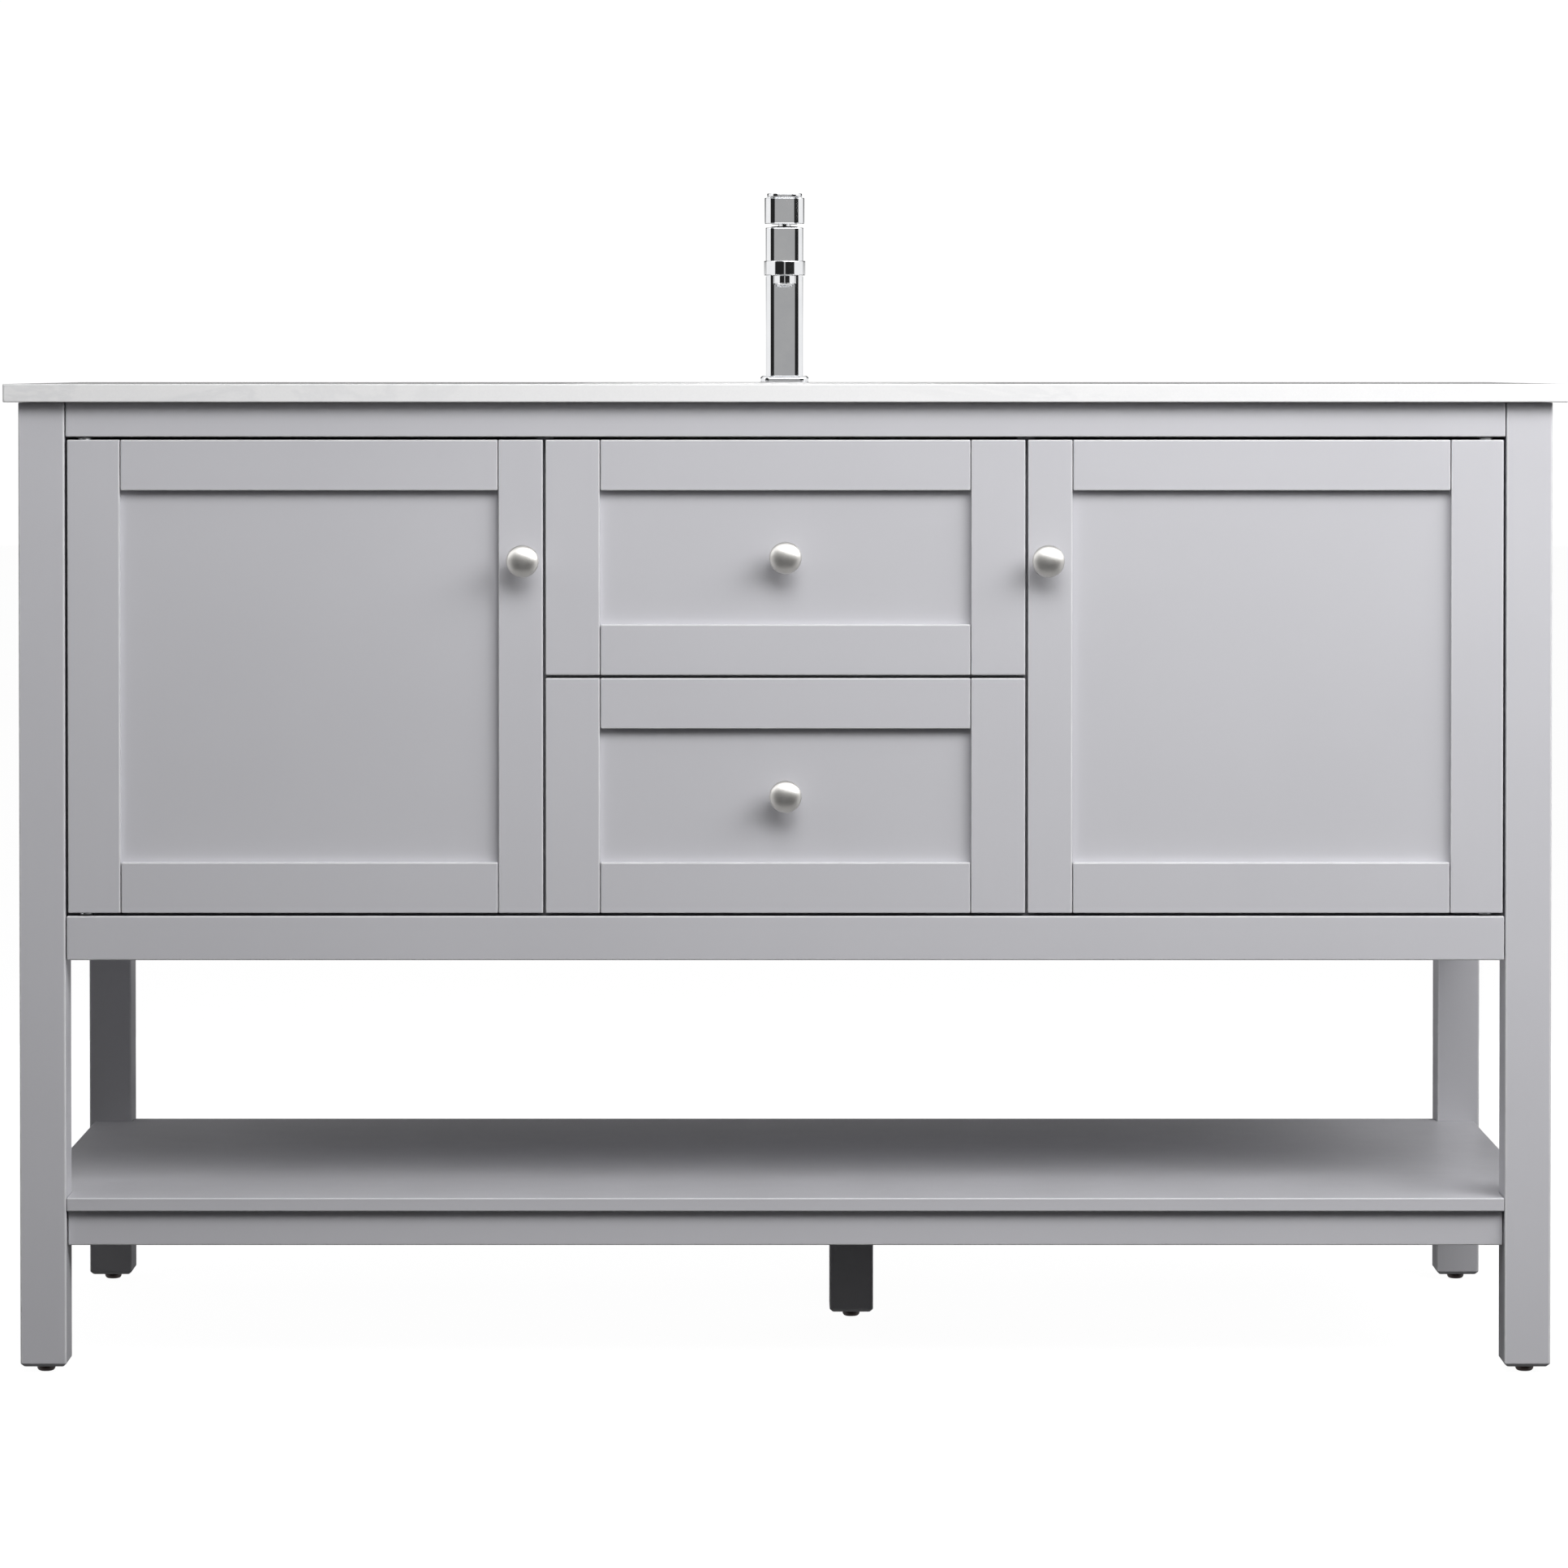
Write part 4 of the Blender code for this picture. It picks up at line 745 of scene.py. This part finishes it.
def makeFront(prefix, body, leftStile, rightStile, knobOnFrame):
    low, high = nodeBox(prefix + "_frame")
    makePiece(prefix + "_boards", frontBoards(low, high, leftStile, rightStile), body, "grey_paint",
              [prefix + "_frame"])
    panelLow, panelHigh = nodeBox(prefix + "_panel")
    makePiece(prefix + "_centre", roundedBoard(panelLow, panelHigh, arris=0.0006), body, "grey_paint",
              [prefix + "_panel"])
    knobLow, knobHigh = nodeBox(prefix + "_knob")
    centreX, centreZ = (knobLow + knobHigh)[0] / 2, (knobLow + knobHigh)[2] / 2
    face = low[1] if knobOnFrame else panelLow[1]
    back = high[1] if knobOnFrame else panelHigh[1]
    makePiece(prefix + "_turned_knob", knobShape((centreX, face, centreZ)), body, "satin_nickel",
              [prefix + "_knob"], sharpAngle=50)
    makePiece(prefix + "_knob_screw", screwHead((centreX, back + 0.0002, centreZ), (0, 1, 0), radius=0.0042,
                                                height=0.0018), body, "zinc_plate")


makeFront("left_door", "left_door", frontLook["hingeStile"], frontLook["latchStile"], True)
makeFront("right_door", "right_door", frontLook["latchStile"], frontLook["hingeStile"], True)
for level in ("upper_drawer", "lower_drawer"):
    makeFront(level, level, frontLook["drawerStile"], frontLook["drawerStile"], False)

for side, sign in (("left", -1), ("right", 1)):
    doorLow, doorHigh = nodeBox(side + "_door_frame")
    bumperX = sign * 0.2168
    bumper = easedLine([(0, -0.0002), (0.003, -0.0002), (0.003, 0.0014), (0, 0.0014)],
                       [0, 0.0002, 0.0007, 0], steps=4)
    dots = [turnedShape(bumper, (bumperX, doorHigh[1], z), (0, 1, 0), steps=20)
            for z in (doorLow[2] + 0.02, doorHigh[2] - 0.02)]
    makePiece(side + "_door_bumpers", joined(dots), side + "_door", "black_nylon")
print("fronts made")


# drawer boxes

boxLook = {"glueLine": 0.0001, "wall": 0.012, "floor": 0.009, "arris": 0.0009, "notchHalf": 0.065,
           "notchFront": -0.06905}


def boxFront(low, high):
    # the two sides and the front between them
    w, g = boxLook["wall"], boxLook["glueLine"]
    return [
        ((low[0], low[1], low[2]), (low[0] + w, high[1], high[2])),
        ((high[0] - w, low[1], low[2]), (high[0], high[1], high[2])),
        ((low[0] + w + g, low[1], low[2]), (high[0] - w - g, low[1] + w, high[2])),
    ]


def boardedBox(boards, step):
    # each board's grain starts at its own place, one step on from the board before
    return joined([roundedBoard(a, b, arris=boxLook["arris"], shift=step * n) for n,
                   (a, b) in enumerate(boards)])


def lowerBox():
    low, high = nodeBox("lower_drawer_box")
    w, f, g = boxLook["wall"], boxLook["floor"], boxLook["glueLine"]
    return boardedBox(boxFront(low, high) + [
        ((low[0] + w + g, high[1] - w, low[2]), (high[0] - w - g, high[1], high[2])),
        ((low[0] + w, low[1] + w, low[2]), (high[0] - w, high[1] - w, low[2] + f)),
    ], 0.23)


def upperBox():
    # shallow box with a bay left open behind for the bowl's waste
    low, high = nodeBox("upper_drawer_box")
    w, f, g = boxLook["wall"], boxLook["floor"], boxLook["glueLine"]
    n, y = boxLook["notchHalf"], boxLook["notchFront"]
    return boardedBox(boxFront(low, high) + [
        ((low[0] + w + g, high[1] - w, low[2]), (-n - w - g, high[1], high[2])),
        ((n + w + g, high[1] - w, low[2]), (high[0] - w - g, high[1], high[2])),
        ((-n - w, y - w, low[2]), (-n, high[1], high[2])),
        ((n, y - w, low[2]), (n + w, high[1], high[2])),
        ((-n + g, y - w, low[2]), (n - g, y, high[2])),
        ((low[0] + w, low[1] + w, low[2]), (high[0] - w, y - w, low[2] + f)),
        ((low[0] + w, y - w, low[2]), (-n - w, high[1] - w, low[2] + f)),
        ((n + w, y - w, low[2]), (high[0] - w, high[1] - w, low[2] + f)),
    ], 0.19)


makePiece("upper_drawer_ply_box", upperBox(), "upper_drawer", "birch_ply", ["upper_drawer_box"])
makePiece("lower_drawer_ply_box", lowerBox(), "lower_drawer", "birch_ply", ["lower_drawer_box"])
for level in ("upper", "lower"):
    boxLow, boxHigh = nodeBox(level + "_drawer_box")
    z = (boxLow[2] + boxHigh[2]) / 2
    heads = [screwHead((x, boxLow[1] + boxLook["wall"], z), (0, 1, 0)) for x in (-0.15, -0.055, 0.055, 0.15)]
    makePiece(level + "_drawer_screws", joined(heads), level + "_drawer", "zinc_plate")
print("drawer boxes made")


# worktop and bowl

topLook = {"ease": 0.0012, "corner": 0.0020, "cutoutEase": 0.0016,
           "cutoutHalf": (0.21, 0.16), "cutoutY": -0.00405}


def worktopSlab():
    # slab with an oval opening: each outside point is paired with the oval point in the same direction
    low, high = nodeBox("countertop")
    cutHalf, cutY = np.array(topLook["cutoutHalf"]), topLook["cutoutY"]
    centre = (low + high) / 2
    half = (high - low) / 2
    e, c = topLook["ease"], topLook["cutoutEase"]
    up = easedLine([(0.02, low[2]), (0, low[2]), (0, high[2]), (0.02, high[2])], [0, e, e, 0], steps=5)
    down = easedLine([(0.02, high[2]), (0, high[2]), (0, low[2]), (0.02, low[2])], [0, c, 0.0006, 0], steps=5)
    rings = []
    for inset, z in up:
        ring = cornerRing(half[0] - inset, half[1] - inset, max(topLook["corner"] - inset, 0.0004), 4, 44)
        rings.append(atHeight(ring + centre[:2], z))
    outline = cornerRing(half[0], half[1], topLook["corner"], 4, 44) / half[:2]
    angle = np.arctan2(outline[:, 1], outline[:, 0])
    for inset, z in down:
        rings.append(atHeight((cutHalf + inset) * onCircle(angle) + [0, cutY], z))
    return shapeFromRings(np.array(rings), closedRows=True)


makePiece("stone_worktop", worktopSlab(), "cabinet", "white_stone", ["countertop"])

bowlLook = {"rings": 40, "around": 144, "floorRadius": 0.040, "holeRadius": 0.0231, "wall": 0.009,
            "depth": 0.140, "flange": 0.022, "flangeThick": 0.008, "rimHalf": (0.213, 0.163)}


def bowlShape():
    # inside and outside are ovals: their half axes grow with sin t from the floor while the depth
    # falls with cos t
    b = bowlLook
    top = nodeBox("sink_bowl")[1][2]
    centreY = topLook["cutoutY"]
    t = np.linspace(0, math.pi / 2, b["rings"])
    rim = np.array(b["rimHalf"])

    def wallRows(outset):
        grow = np.sin(t)[:, None]
        halves = b["floorRadius"] + (rim - b["floorRadius"]) * grow + outset * grow
        return np.column_stack([halves, top - (b["depth"] + outset) * np.cos(t)])

    inner = wallRows(0.0)
    outer = wallRows(b["wall"])
    reach = rim + b["flange"]
    under = top - b["flangeThick"]
    hole = b["holeRadius"]
    floorZ = top - b["depth"]
    dish = np.linspace(hole, b["floorRadius"], 6)[:-1]
    rows = [(r, r, floorZ) for r in dish]
    rows += inner.tolist()
    rows += [(*(reach - 0.001), top), (*reach, top - 0.001), (*reach, under + 0.001),
             (*(reach - 0.001), under)]
    outerRows = outer[outer[:, 2] < under - 0.0005]
    rows += [(*(outer[-1, :2] + 0.004), under), (*outer[-1, :2], under - 0.0036)]
    rows += outerRows[::-1].tolist()
    rows += [(hole, hole, floorZ - b["wall"])]
    rows = np.array(rows)
    angle = np.arange(b["around"]) / b["around"] * 2 * math.pi
    rings = np.stack([rows[:, :1] * np.cos(angle), rows[:, 1:2] * np.sin(angle) + centreY,
                      np.broadcast_to(rows[:, 2:3], (len(rows), len(angle)))], axis=-1)
    return shapeFromRings(rings, closedRows=True)


makePiece("glazed_bowl", bowlShape(), "cabinet", "glazed_ceramic", ["sink_bowl"], weighted=False)


def overflowRing():
    # small pressed ring, square to the bowl's rear wall, and a black disc in its opening as painted shade
    # where the overflow hole would be dark
    b = bowlLook
    top = nodeBox("sink_bowl")[1][2]
    turn = math.acos(0.036 / b["depth"])
    y = topLook["cutoutY"] + b["floorRadius"] + (b["rimHalf"][1] - b["floorRadius"]) * math.sin(turn)
    slope = np.array([0, -b["depth"] * math.sin(turn), (b["rimHalf"][1] - b["floorRadius"]) * math.cos(turn)])
    out = slope / np.linalg.norm(slope)
    centre = np.array([0, y, top - 0.036])
    line = easedLine([(0.0085, -0.001), (0.0118, -0.001), (0.0118, 0.0011), (0.0085, 0.0011)],
                     [0.0002, 0.0002, 0.0007, 0.0007], steps=4, closed=True)
    ring = turnedShape(line, centre, out, steps=48, closed=True)
    shadeDisc = turnedShape([(0, 0.0002), (0.009, 0.0002), (0.009, -0.001), (0, -0.001)], centre, out, steps=48)
    return ring, shadeDisc


overflow, overflowShadeDisc = overflowRing()
makePiece("overflow_ring", overflow, "cabinet", "chrome")
# painted shade: a black disc stands in for the dark overflow hole, which the bowl does not have
makePiece("overflow_painted_shade", overflowShadeDisc, "cabinet", "black_nylon")


# drain and stopper

def drainShapes():
    low, high = nodeBox("drain_body")
    x, y = (low + high)[:2] / 2
    floorZ = nodeBox("sink_bowl")[1][2] - bowlLook["depth"]
    body = easedLine([(0.0180, 0.0006), (0.0215, 0.0024), (0.0302, 0.0019), (0.0308, 0.0004),
                      (0.0225, 0.0004),
                      (0.0225, -0.060), (0.0160, -0.060), (0.0160, -0.110), (0.0140, -0.110),
                      (0.0140, -0.042),
                      (0.0180, -0.042)],
                     [0.0012, 0.0008, 0.0012, 0.0002, 0.0001, 0.0012, 0.0008, 0.0006, 0.0004, 0.0006, 0.0006],
                     steps=4, closed=True)
    drain = turnedShape(body, (x, y, floorZ), steps=64, closed=True)
    under = -0.0093
    washer = turnedShape(easedLine([(0.0228, under), (0.0345, under), (0.0345, under - 0.0032),
                                    (0.0228, under - 0.0032)], [0.0002, 0.0008, 0.0008, 0.0002], steps=3,
                                    closed=True),
                         (x, y, floorZ), steps=48, closed=True)
    n0 = under - 0.0034
    nutLine = easedLine([(0.0227, n0), (0.0325, n0), (0.0325, n0 - 0.0105), (0.0227, n0 - 0.0105)],
                        [0.0002, 0.0008, 0.0012, 0.0002], steps=3, closed=True)
    swing = np.where(nutLine[:, 0] > 0.026, 0.055, 0.0)
    nut = turnedShape(nutLine, (x, y, floorZ), steps=96, closed=True, lobes=(8, swing))
    return drain, washer, nut


drain, drainWasher, drainNut = drainShapes()
makePiece("drain_fitting", drain, "cabinet", "chrome", ["drain_body"])
makePiece("drain_washer", drainWasher, "cabinet", "black_nylon")
makePiece("drain_nut", drainNut, "cabinet", "zinc_plate")

stopLow, stopHigh = nodeBox("sink_stopper")
stopX, stopY = (stopLow + stopHigh)[:2] / 2
capTurn = np.linspace(0, math.pi / 2, 16)
capRise = np.column_stack([0.0205 * np.cos(capTurn), stopHigh[2] - 0.0022 + 0.0022 * np.sin(capTurn)])
capRise[-1, 0] = 0
skirt = easedLine([(0, stopLow[2]), (0.0172, stopLow[2]), (0.0172, stopLow[2] + 0.024),
                   (0.0208, stopLow[2] + 0.024),
                   (0.0215, stopLow[2] + 0.0250), (0.0215, stopHigh[2] - 0.0030),
                   (0.0205, stopHigh[2] - 0.0022)],
                  [0, 0.001, 0.0003, 0.0003, 0.0006, 0.0006, 0], steps=4)
makePiece("stopper_plug", turnedShape(np.concatenate([skirt, capRise[1:]]), (stopX, stopY, 0), steps=64),
          "stopper",
          "chrome", ["sink_stopper"])
print("worktop, bowl and drain made")


# tap

tapLook = {"axisY": 0.21095, "plate": 0.046, "column": 0.036, "columnHeight": 0.148, "spoutReach": 0.118,
           "spoutWidth": 0.039, "spoutHeight": 0.0136, "spoutLift": 0.1008, "handle": 0.038,
           "handleHeight": 0.0248, "leverWidth": 0.033, "leverOut": 0.046, "corner": 0.0083,
           "handleCorner": 0.0100, "spoutCorner": 0.0185, "ease": 0.0009}


def tapBody():
    # plate, square column and flat spout, each a rounded rectangle carried up with eased edges
    base = nodeBox("countertop")[1][2] + clearance
    y = tapLook["axisY"]
    r, e = tapLook["corner"], tapLook["ease"]
    plate = easedLine([(0.012, base), (0, base), (0, base + 0.0042), (0.0018, base + 0.006),
                       (0.012, base + 0.006)],
                      [0, 0.0004, 0.0008, 0.0008, 0], steps=4)
    tall = tapLook["columnHeight"]
    column = easedLine([(0.006, base + 0.005), (0, base + 0.005), (0, base + tall), (0.012, base + tall)],
                       [0, 0.0002, e, 0], steps=5)
    reach, width, height = tapLook["spoutReach"], tapLook["spoutWidth"], tapLook["spoutHeight"]
    spoutLow = base + tapLook["spoutLift"]
    spoutLength = reach + width / 2
    spout = easedLine([(0.012, spoutLow), (0, spoutLow), (0, spoutLow + height), (0.012, spoutLow + height)],
                      [0, e, e, 0], steps=5)
    shapes = [
        softPrism(tapLook["plate"], tapLook["plate"], r, plate, (0, y), between=2),
        softPrism(tapLook["column"], tapLook["column"], r, column, (0, y), between=2),
        softPrism(width, spoutLength, tapLook["spoutCorner"], spout, (0, y - reach + spoutLength / 2),
                  between=2),
    ]
    thread = np.arange(0, 45)
    threadRadius = np.where(thread % 2 == 0, 0.0150, 0.0143)
    shank = np.concatenate([[(0, -0.0552)], [(0.0135, -0.0552)],
                            np.column_stack([threadRadius, -0.0545 + thread * 0.0011]), [(0.0145, 0.001)],
                            [(0, 0.001)]])
    shapes.append(turnedShape(shank, (0, y, base), steps=40))
    return joined(shapes)


def tapNut():
    # six-sided nut and a broad washer under the worktop
    under = nodeBox("countertop")[0][2]
    washerLine = easedLine([(0.0152, under - 0.0002), (0.024, under - 0.0002), (0.024, under - 0.0022),
                            (0.0152, under - 0.0022)], [0.0001, 0.0005, 0.0005, 0.0001], steps=3, closed=True)
    washer = turnedShape(washerLine, (0, tapLook["axisY"], 0), steps=48, closed=True)
    angle = np.arange(72) / 72 * 2 * math.pi
    flat = 0.019 / np.cos((angle % (math.pi / 3)) - math.pi / 6)
    radii = {"bore": np.full(len(angle), 0.0152), "edge": np.full(len(angle), 0.0195), "flats": flat}
    rows = [("bore", -0.0024), ("edge", -0.0024), ("flats", -0.0030), ("flats", -0.0128), ("edge", -0.0134),
            ("bore", -0.0134)]
    rings = [atHeight(radii[kind][:, None] * onCircle(angle) + [0, tapLook["axisY"]], under + drop)
             for kind, drop in rows]
    return washer, shapeFromRings(np.array(rings), closedRows=True)


def tapHandle():
    # block with a pocket under it for the stem, and a flat lever plate on top
    low, high = nodeBox("tap_handle")
    y = tapLook["axisY"]
    r, e = tapLook["handleCorner"], tapLook["ease"]
    top = low[2] + tapLook["handleHeight"]
    block = easedLine([(0.007, low[2] + 0.015), (0.007, low[2]), (0, low[2]), (0, top), (0.012, top)],
                      [0, 0.0005, e, e, 0], steps=5)
    plateWidth = tapLook["leverWidth"]
    plateLength = plateWidth + tapLook["leverOut"]
    middle = y + plateWidth / 2 - plateLength / 2
    plate = easedLine([(0.010, top - 0.0003), (0, top - 0.0003), (0, high[2]), (0.010, high[2])],
                      [0, 0.0006, 0.0008, 0], steps=5)
    return joined([softPrism(tapLook["handle"], tapLook["handle"], r, block, (0, y), between=2),
                   softPrism(plateWidth, plateLength, r, plate, (0, middle), between=2)])


def aeratorShapes():
    low, high = nodeBox("aerator")
    x, y = (low + high)[:2] / 2
    line = easedLine([(0.0086, 0), (0.0106, 0), (0.0106, -0.0072), (0.0097, -0.0085), (0.0086, -0.0085)],
                     [0.0001, 0.0003, 0.0004, 0.0006, 0.0004], steps=4, closed=True)
    ring = turnedShape(line, (x, y, high[2]), steps=56, closed=True)
    turn = np.linspace(0, 1, 14)
    ripple = np.column_stack([0.0087 * (1 - turn), -0.0052 - 0.0003 * np.cos(turn * 8 * math.pi)])
    ripple[-1, 0] = 0
    screen = np.concatenate([[(0, -0.0040)], [(0.0087, -0.0040)], ripple])
    return ring, turnedShape(screen, (x, y, high[2]), steps=40)


makePiece("tap_casting", tapBody(), "cabinet", "chrome", ["tap_body"], sharpAngle=50)
nutWasher, nut = tapNut()
makePiece("tap_washer", nutWasher, "cabinet", "zinc_plate")
makePiece("tap_nut", nut, "cabinet", "zinc_plate", sharpAngle=25)
makePiece("tap_lever_handle", tapHandle(), "tap_handle", "chrome", ["tap_handle"], sharpAngle=50)
aeratorRing, aeratorScreen = aeratorShapes()
makePiece("aerator_ring", aeratorRing, "cabinet", "chrome", ["aerator"])
makePiece("aerator_screen", aeratorScreen, "cabinet", "black_nylon")
print("tap made")


# room: floor, backdrop, soft light and camera

roomLook = {"floorHalf": 24.0, "floorGlow": 0.97, "floorColour": (0.13, 0.13, 0.13), "backdropRadius": 23.0,
            "backdropGlow": 1.02, "backdropGrid": (24, 64)}


def glowMaterial(name, colour, strength):
    material, _, _, shader = newFinish(name)
    shader.inputs["Base Color"].default_value = (*colour, 1)
    shader.inputs["Roughness"].default_value = 0.9
    shader.inputs["Specular IOR Level"].default_value = 0.0
    shader.inputs["Emission Color"].default_value = (1, 1, 1, 1)
    shader.inputs["Emission Strength"].default_value = strength
    return material


def stagePiece(name, points, faces, material):
    mesh = bpy.data.meshes.new(name)
    mesh.from_pydata(points.tolist(), [], faces)
    mesh.materials.append(material)
    piece = bpy.data.objects.new(name, mesh)
    bpy.context.scene.collection.objects.link(piece)
    return piece


half = roomLook["floorHalf"]
floorPoints = np.array([(-half, -half, 0), (half, -half, 0), (half, half, 0), (-half, half, 0)])
floor = stagePiece("studio_floor", floorPoints, [[0, 1, 2, 3]],
                   glowMaterial("pale floor", roomLook["floorColour"], roomLook["floorGlow"]))
floor.visible_diffuse = False
floor.visible_glossy = False


def skyGrid(radius, rows, columns):
    # points of a dome and their directions: azimuth 0 faces the front, 90 the right, both in degrees
    azimuth, elevation = np.meshgrid((np.arange(columns) + 0.5) / columns * 360 - 180,
                                     np.linspace(-90, 90, rows))
    a, e = np.radians(azimuth), np.radians(elevation)
    points = radius * np.stack([np.sin(a) * np.cos(e), -np.cos(a) * np.cos(e), np.sin(e)], axis=-1)
    return points.reshape(-1, 3), azimuth.ravel(), elevation.ravel()


def showOnlyTo(piece, kind):
    # a stage piece that only one kind of ray sees
    for ray in ("camera", "diffuse", "glossy", "transmission", "volume_scatter", "shadow"):
        setattr(piece, "visible_" + ray, ray == kind)


backdropPoints = skyGrid(roomLook["backdropRadius"], *roomLook["backdropGrid"])[0]
backdrop = stagePiece("studio_backdrop", backdropPoints, gridFaces(*roomLook["backdropGrid"]).tolist(),
                      glowMaterial("white backdrop", (0, 0, 0), roomLook["backdropGlow"]))
showOnlyTo(backdrop, "camera")

cardLook = {"front": 0.42, "flag": 0.02, "side": 1.0, "rear": 0.0, "horizon": 1.0, "above": 0.9,
            "below": 0.45,
            "radius": 20.0, "grid": (181, 360)}


def reflectionCards():
    # what metal, stone and lacquer mirror: a grey card straight ahead, black flags beside it, white walls,
    # and a dark rear wall with a bright strip at its foot
    points, azimuth, elevation = skyGrid(cardLook["radius"], *cardLook["grid"])
    c = cardLook
    away = np.abs(azimuth)
    level = np.interp(away, [4.5, 6, 50, 55, 118, 132], [c["front"], c["flag"], c["flag"], c["side"],
                                                         c["side"],
                                                        c["rear"]])
    above = np.interp(elevation, [26, 42], [0, 1])
    below = np.interp(elevation, [-42, -26], [1, 0])
    farBand = np.interp(away, [118, 132], [0, 1]) * np.interp(np.abs(elevation), [3, 5], [1, 0])
    level = level + (c["horizon"] - level) * farBand
    glow = level * (1 - above - below) + c["above"] * above + c["below"] * below
    material = bpy.data.materials.new("reflection cards")
    material.use_nodes = True
    nodes, links = material.node_tree.nodes, material.node_tree.links
    nodes.remove(nodes["Principled BSDF"])
    emission = addNode(nodes, "ShaderNodeEmission")
    links.new(addNode(nodes, "ShaderNodeAttribute", attribute_name="glow").outputs["Fac"],
              emission.inputs["Strength"])
    links.new(emission.outputs[0], nodes["Material Output"].inputs["Surface"])
    piece = stagePiece("reflection_cards", points, gridFaces(*cardLook["grid"]).tolist(), material)
    piece.data.attributes.new("glow", "FLOAT", "POINT").data.foreach_set("value", glow.astype(np.float32))
    showOnlyTo(piece, "glossy")


reflectionCards()

surroundLook = {
    # name: azimuth from and to, elevation from and to, glow
    "ceiling": (-181, 181, 60, 91, 0.36),
    "right": (70, 130, -20, 25, 0.08),
    "left": (-130, -70, -20, 25, 0.06),
    "rear": (130, 181, -20, 60, 0.02),
    "ground": (-181, 181, -91, -35, 0.04),
}


def makeSurround():
    # soft light from all round: each patch of sky glows between its own azimuths and elevations
    world = bpy.data.worlds.new("studio surround")
    bpy.context.scene.world = world
    world.use_nodes = True
    world.cycles_visibility.glossy = False
    nodes, links = world.node_tree.nodes, world.node_tree.links
    parts = addNode(nodes, "ShaderNodeSeparateXYZ")
    links.new(addNode(nodes, "ShaderNodeTexCoord").outputs["Object"], parts.inputs[0])

    def sums(*terms):
        return mathOf(nodes, links, *terms)

    def between(angle, low, high):
        rise = rangeOf(nodes, links, angle, 0.0, 1.0, low - 3, low + 3)
        fall = rangeOf(nodes, links, angle, 1.0, 0.0, high - 3, high + 3)
        return sums("MULTIPLY", rise, fall)

    toDegrees = 57.29578
    ahead = sums("MULTIPLY", parts.outputs["Y"], -1.0)
    azimuth = sums("MULTIPLY", sums("ARCTAN2", parts.outputs["X"], ahead), toDegrees)
    elevation = sums("MULTIPLY", sums("ARCSINE", parts.outputs["Z"], 0.0), toDegrees)
    total = 0.0
    for azLow, azHigh, elLow, elHigh, glow in surroundLook.values():
        azLow, azHigh = (azLow - 9 if azLow <= -180 else azLow), (azHigh + 9 if azHigh >= 180 else azHigh)
        patch = sums("MULTIPLY", between(azimuth, azLow, azHigh),
                     between(elevation, elLow, elHigh + 9 * (elHigh > 90)))
        total = sums("MULTIPLY_ADD", patch, glow, total)
    background = nodes["Background"]
    background.inputs["Color"].default_value = (1, 1, 1, 1)
    links.new(total, background.inputs["Strength"])


makeSurround()

lightLook = {
    # name: azimuth, elevation, power, mirrored or not; each looks at the middle of the cabinet
    "front": (5, 44, 33.0, True),
    "key": (42, 30, 23.0, True),
    "key side": (58, 30, 17.5, True),
    "right side": (78, 30, 10.4, True),
    "right front": (25, 44, 8.7, True),
    "left": (-70, 30, 7.1, True),
    "low front": (5, 6, 4.0, False),
    "near right": (25, 30, 3.5, True),
    "rear left": (-152, -8, 17.0, False),
    "rear right": (152, -8, 17.0, False),
    "low left": (-118, -8, 8.0, False),
}
lightRig = {"distance": 2.6, "size": 1.5, "target": (0.0, -0.2, 0.55)}


def softLight(name, azimuth, elevation, power, mirrored):
    lamp = bpy.data.lights.new(name, "AREA")
    lamp.shape = "DISK"
    lamp.size = lightRig["size"]
    lamp.energy = power
    lightObject = bpy.data.objects.new(name, lamp)
    bpy.context.scene.collection.objects.link(lightObject)
    a, e = math.radians(azimuth), math.radians(elevation)
    out = Vector((math.sin(a) * math.cos(e), -math.cos(a) * math.cos(e), math.sin(e)))
    lightObject.location = Vector(lightRig["target"]) + out * lightRig["distance"]
    lightObject.rotation_mode = "QUATERNION"
    lightObject.rotation_quaternion = (-out).to_track_quat("-Z", "Y")
    lightObject.visible_glossy = mirrored


for lightName, settings in lightLook.items():
    softLight(lightName + " light", *settings)

cameraLook = {"x": -0.0095, "distance": 4.951, "height": 0.888, "downDegrees": 1.1, "lens": 129.48,
              "shiftX": 0.0060, "shiftY": -0.1977}
cabinetFront = nodeBox("left_door_frame")[0][1]
lens = bpy.data.cameras.new("studio camera")
lens.sensor_width = 36
lens.sensor_fit = "HORIZONTAL"
lens.lens = cameraLook["lens"]
lens.shift_x = cameraLook["shiftX"]
lens.shift_y = cameraLook["shiftY"]
lens.clip_end = 200
lens.dof.use_dof = False
camera = bpy.data.objects.new("studio camera", lens)
bpy.context.scene.collection.objects.link(camera)
camera.location = (cameraLook["x"], cabinetFront - cameraLook["distance"], cameraLook["height"])
camera.rotation_euler = (math.radians(90 - cameraLook["downDegrees"]), 0, 0)
bpy.context.scene.camera = camera
bpy.context.scene.view_settings.view_transform = "Standard"
bpy.context.scene.view_settings.look = "None"
print("room and camera made")
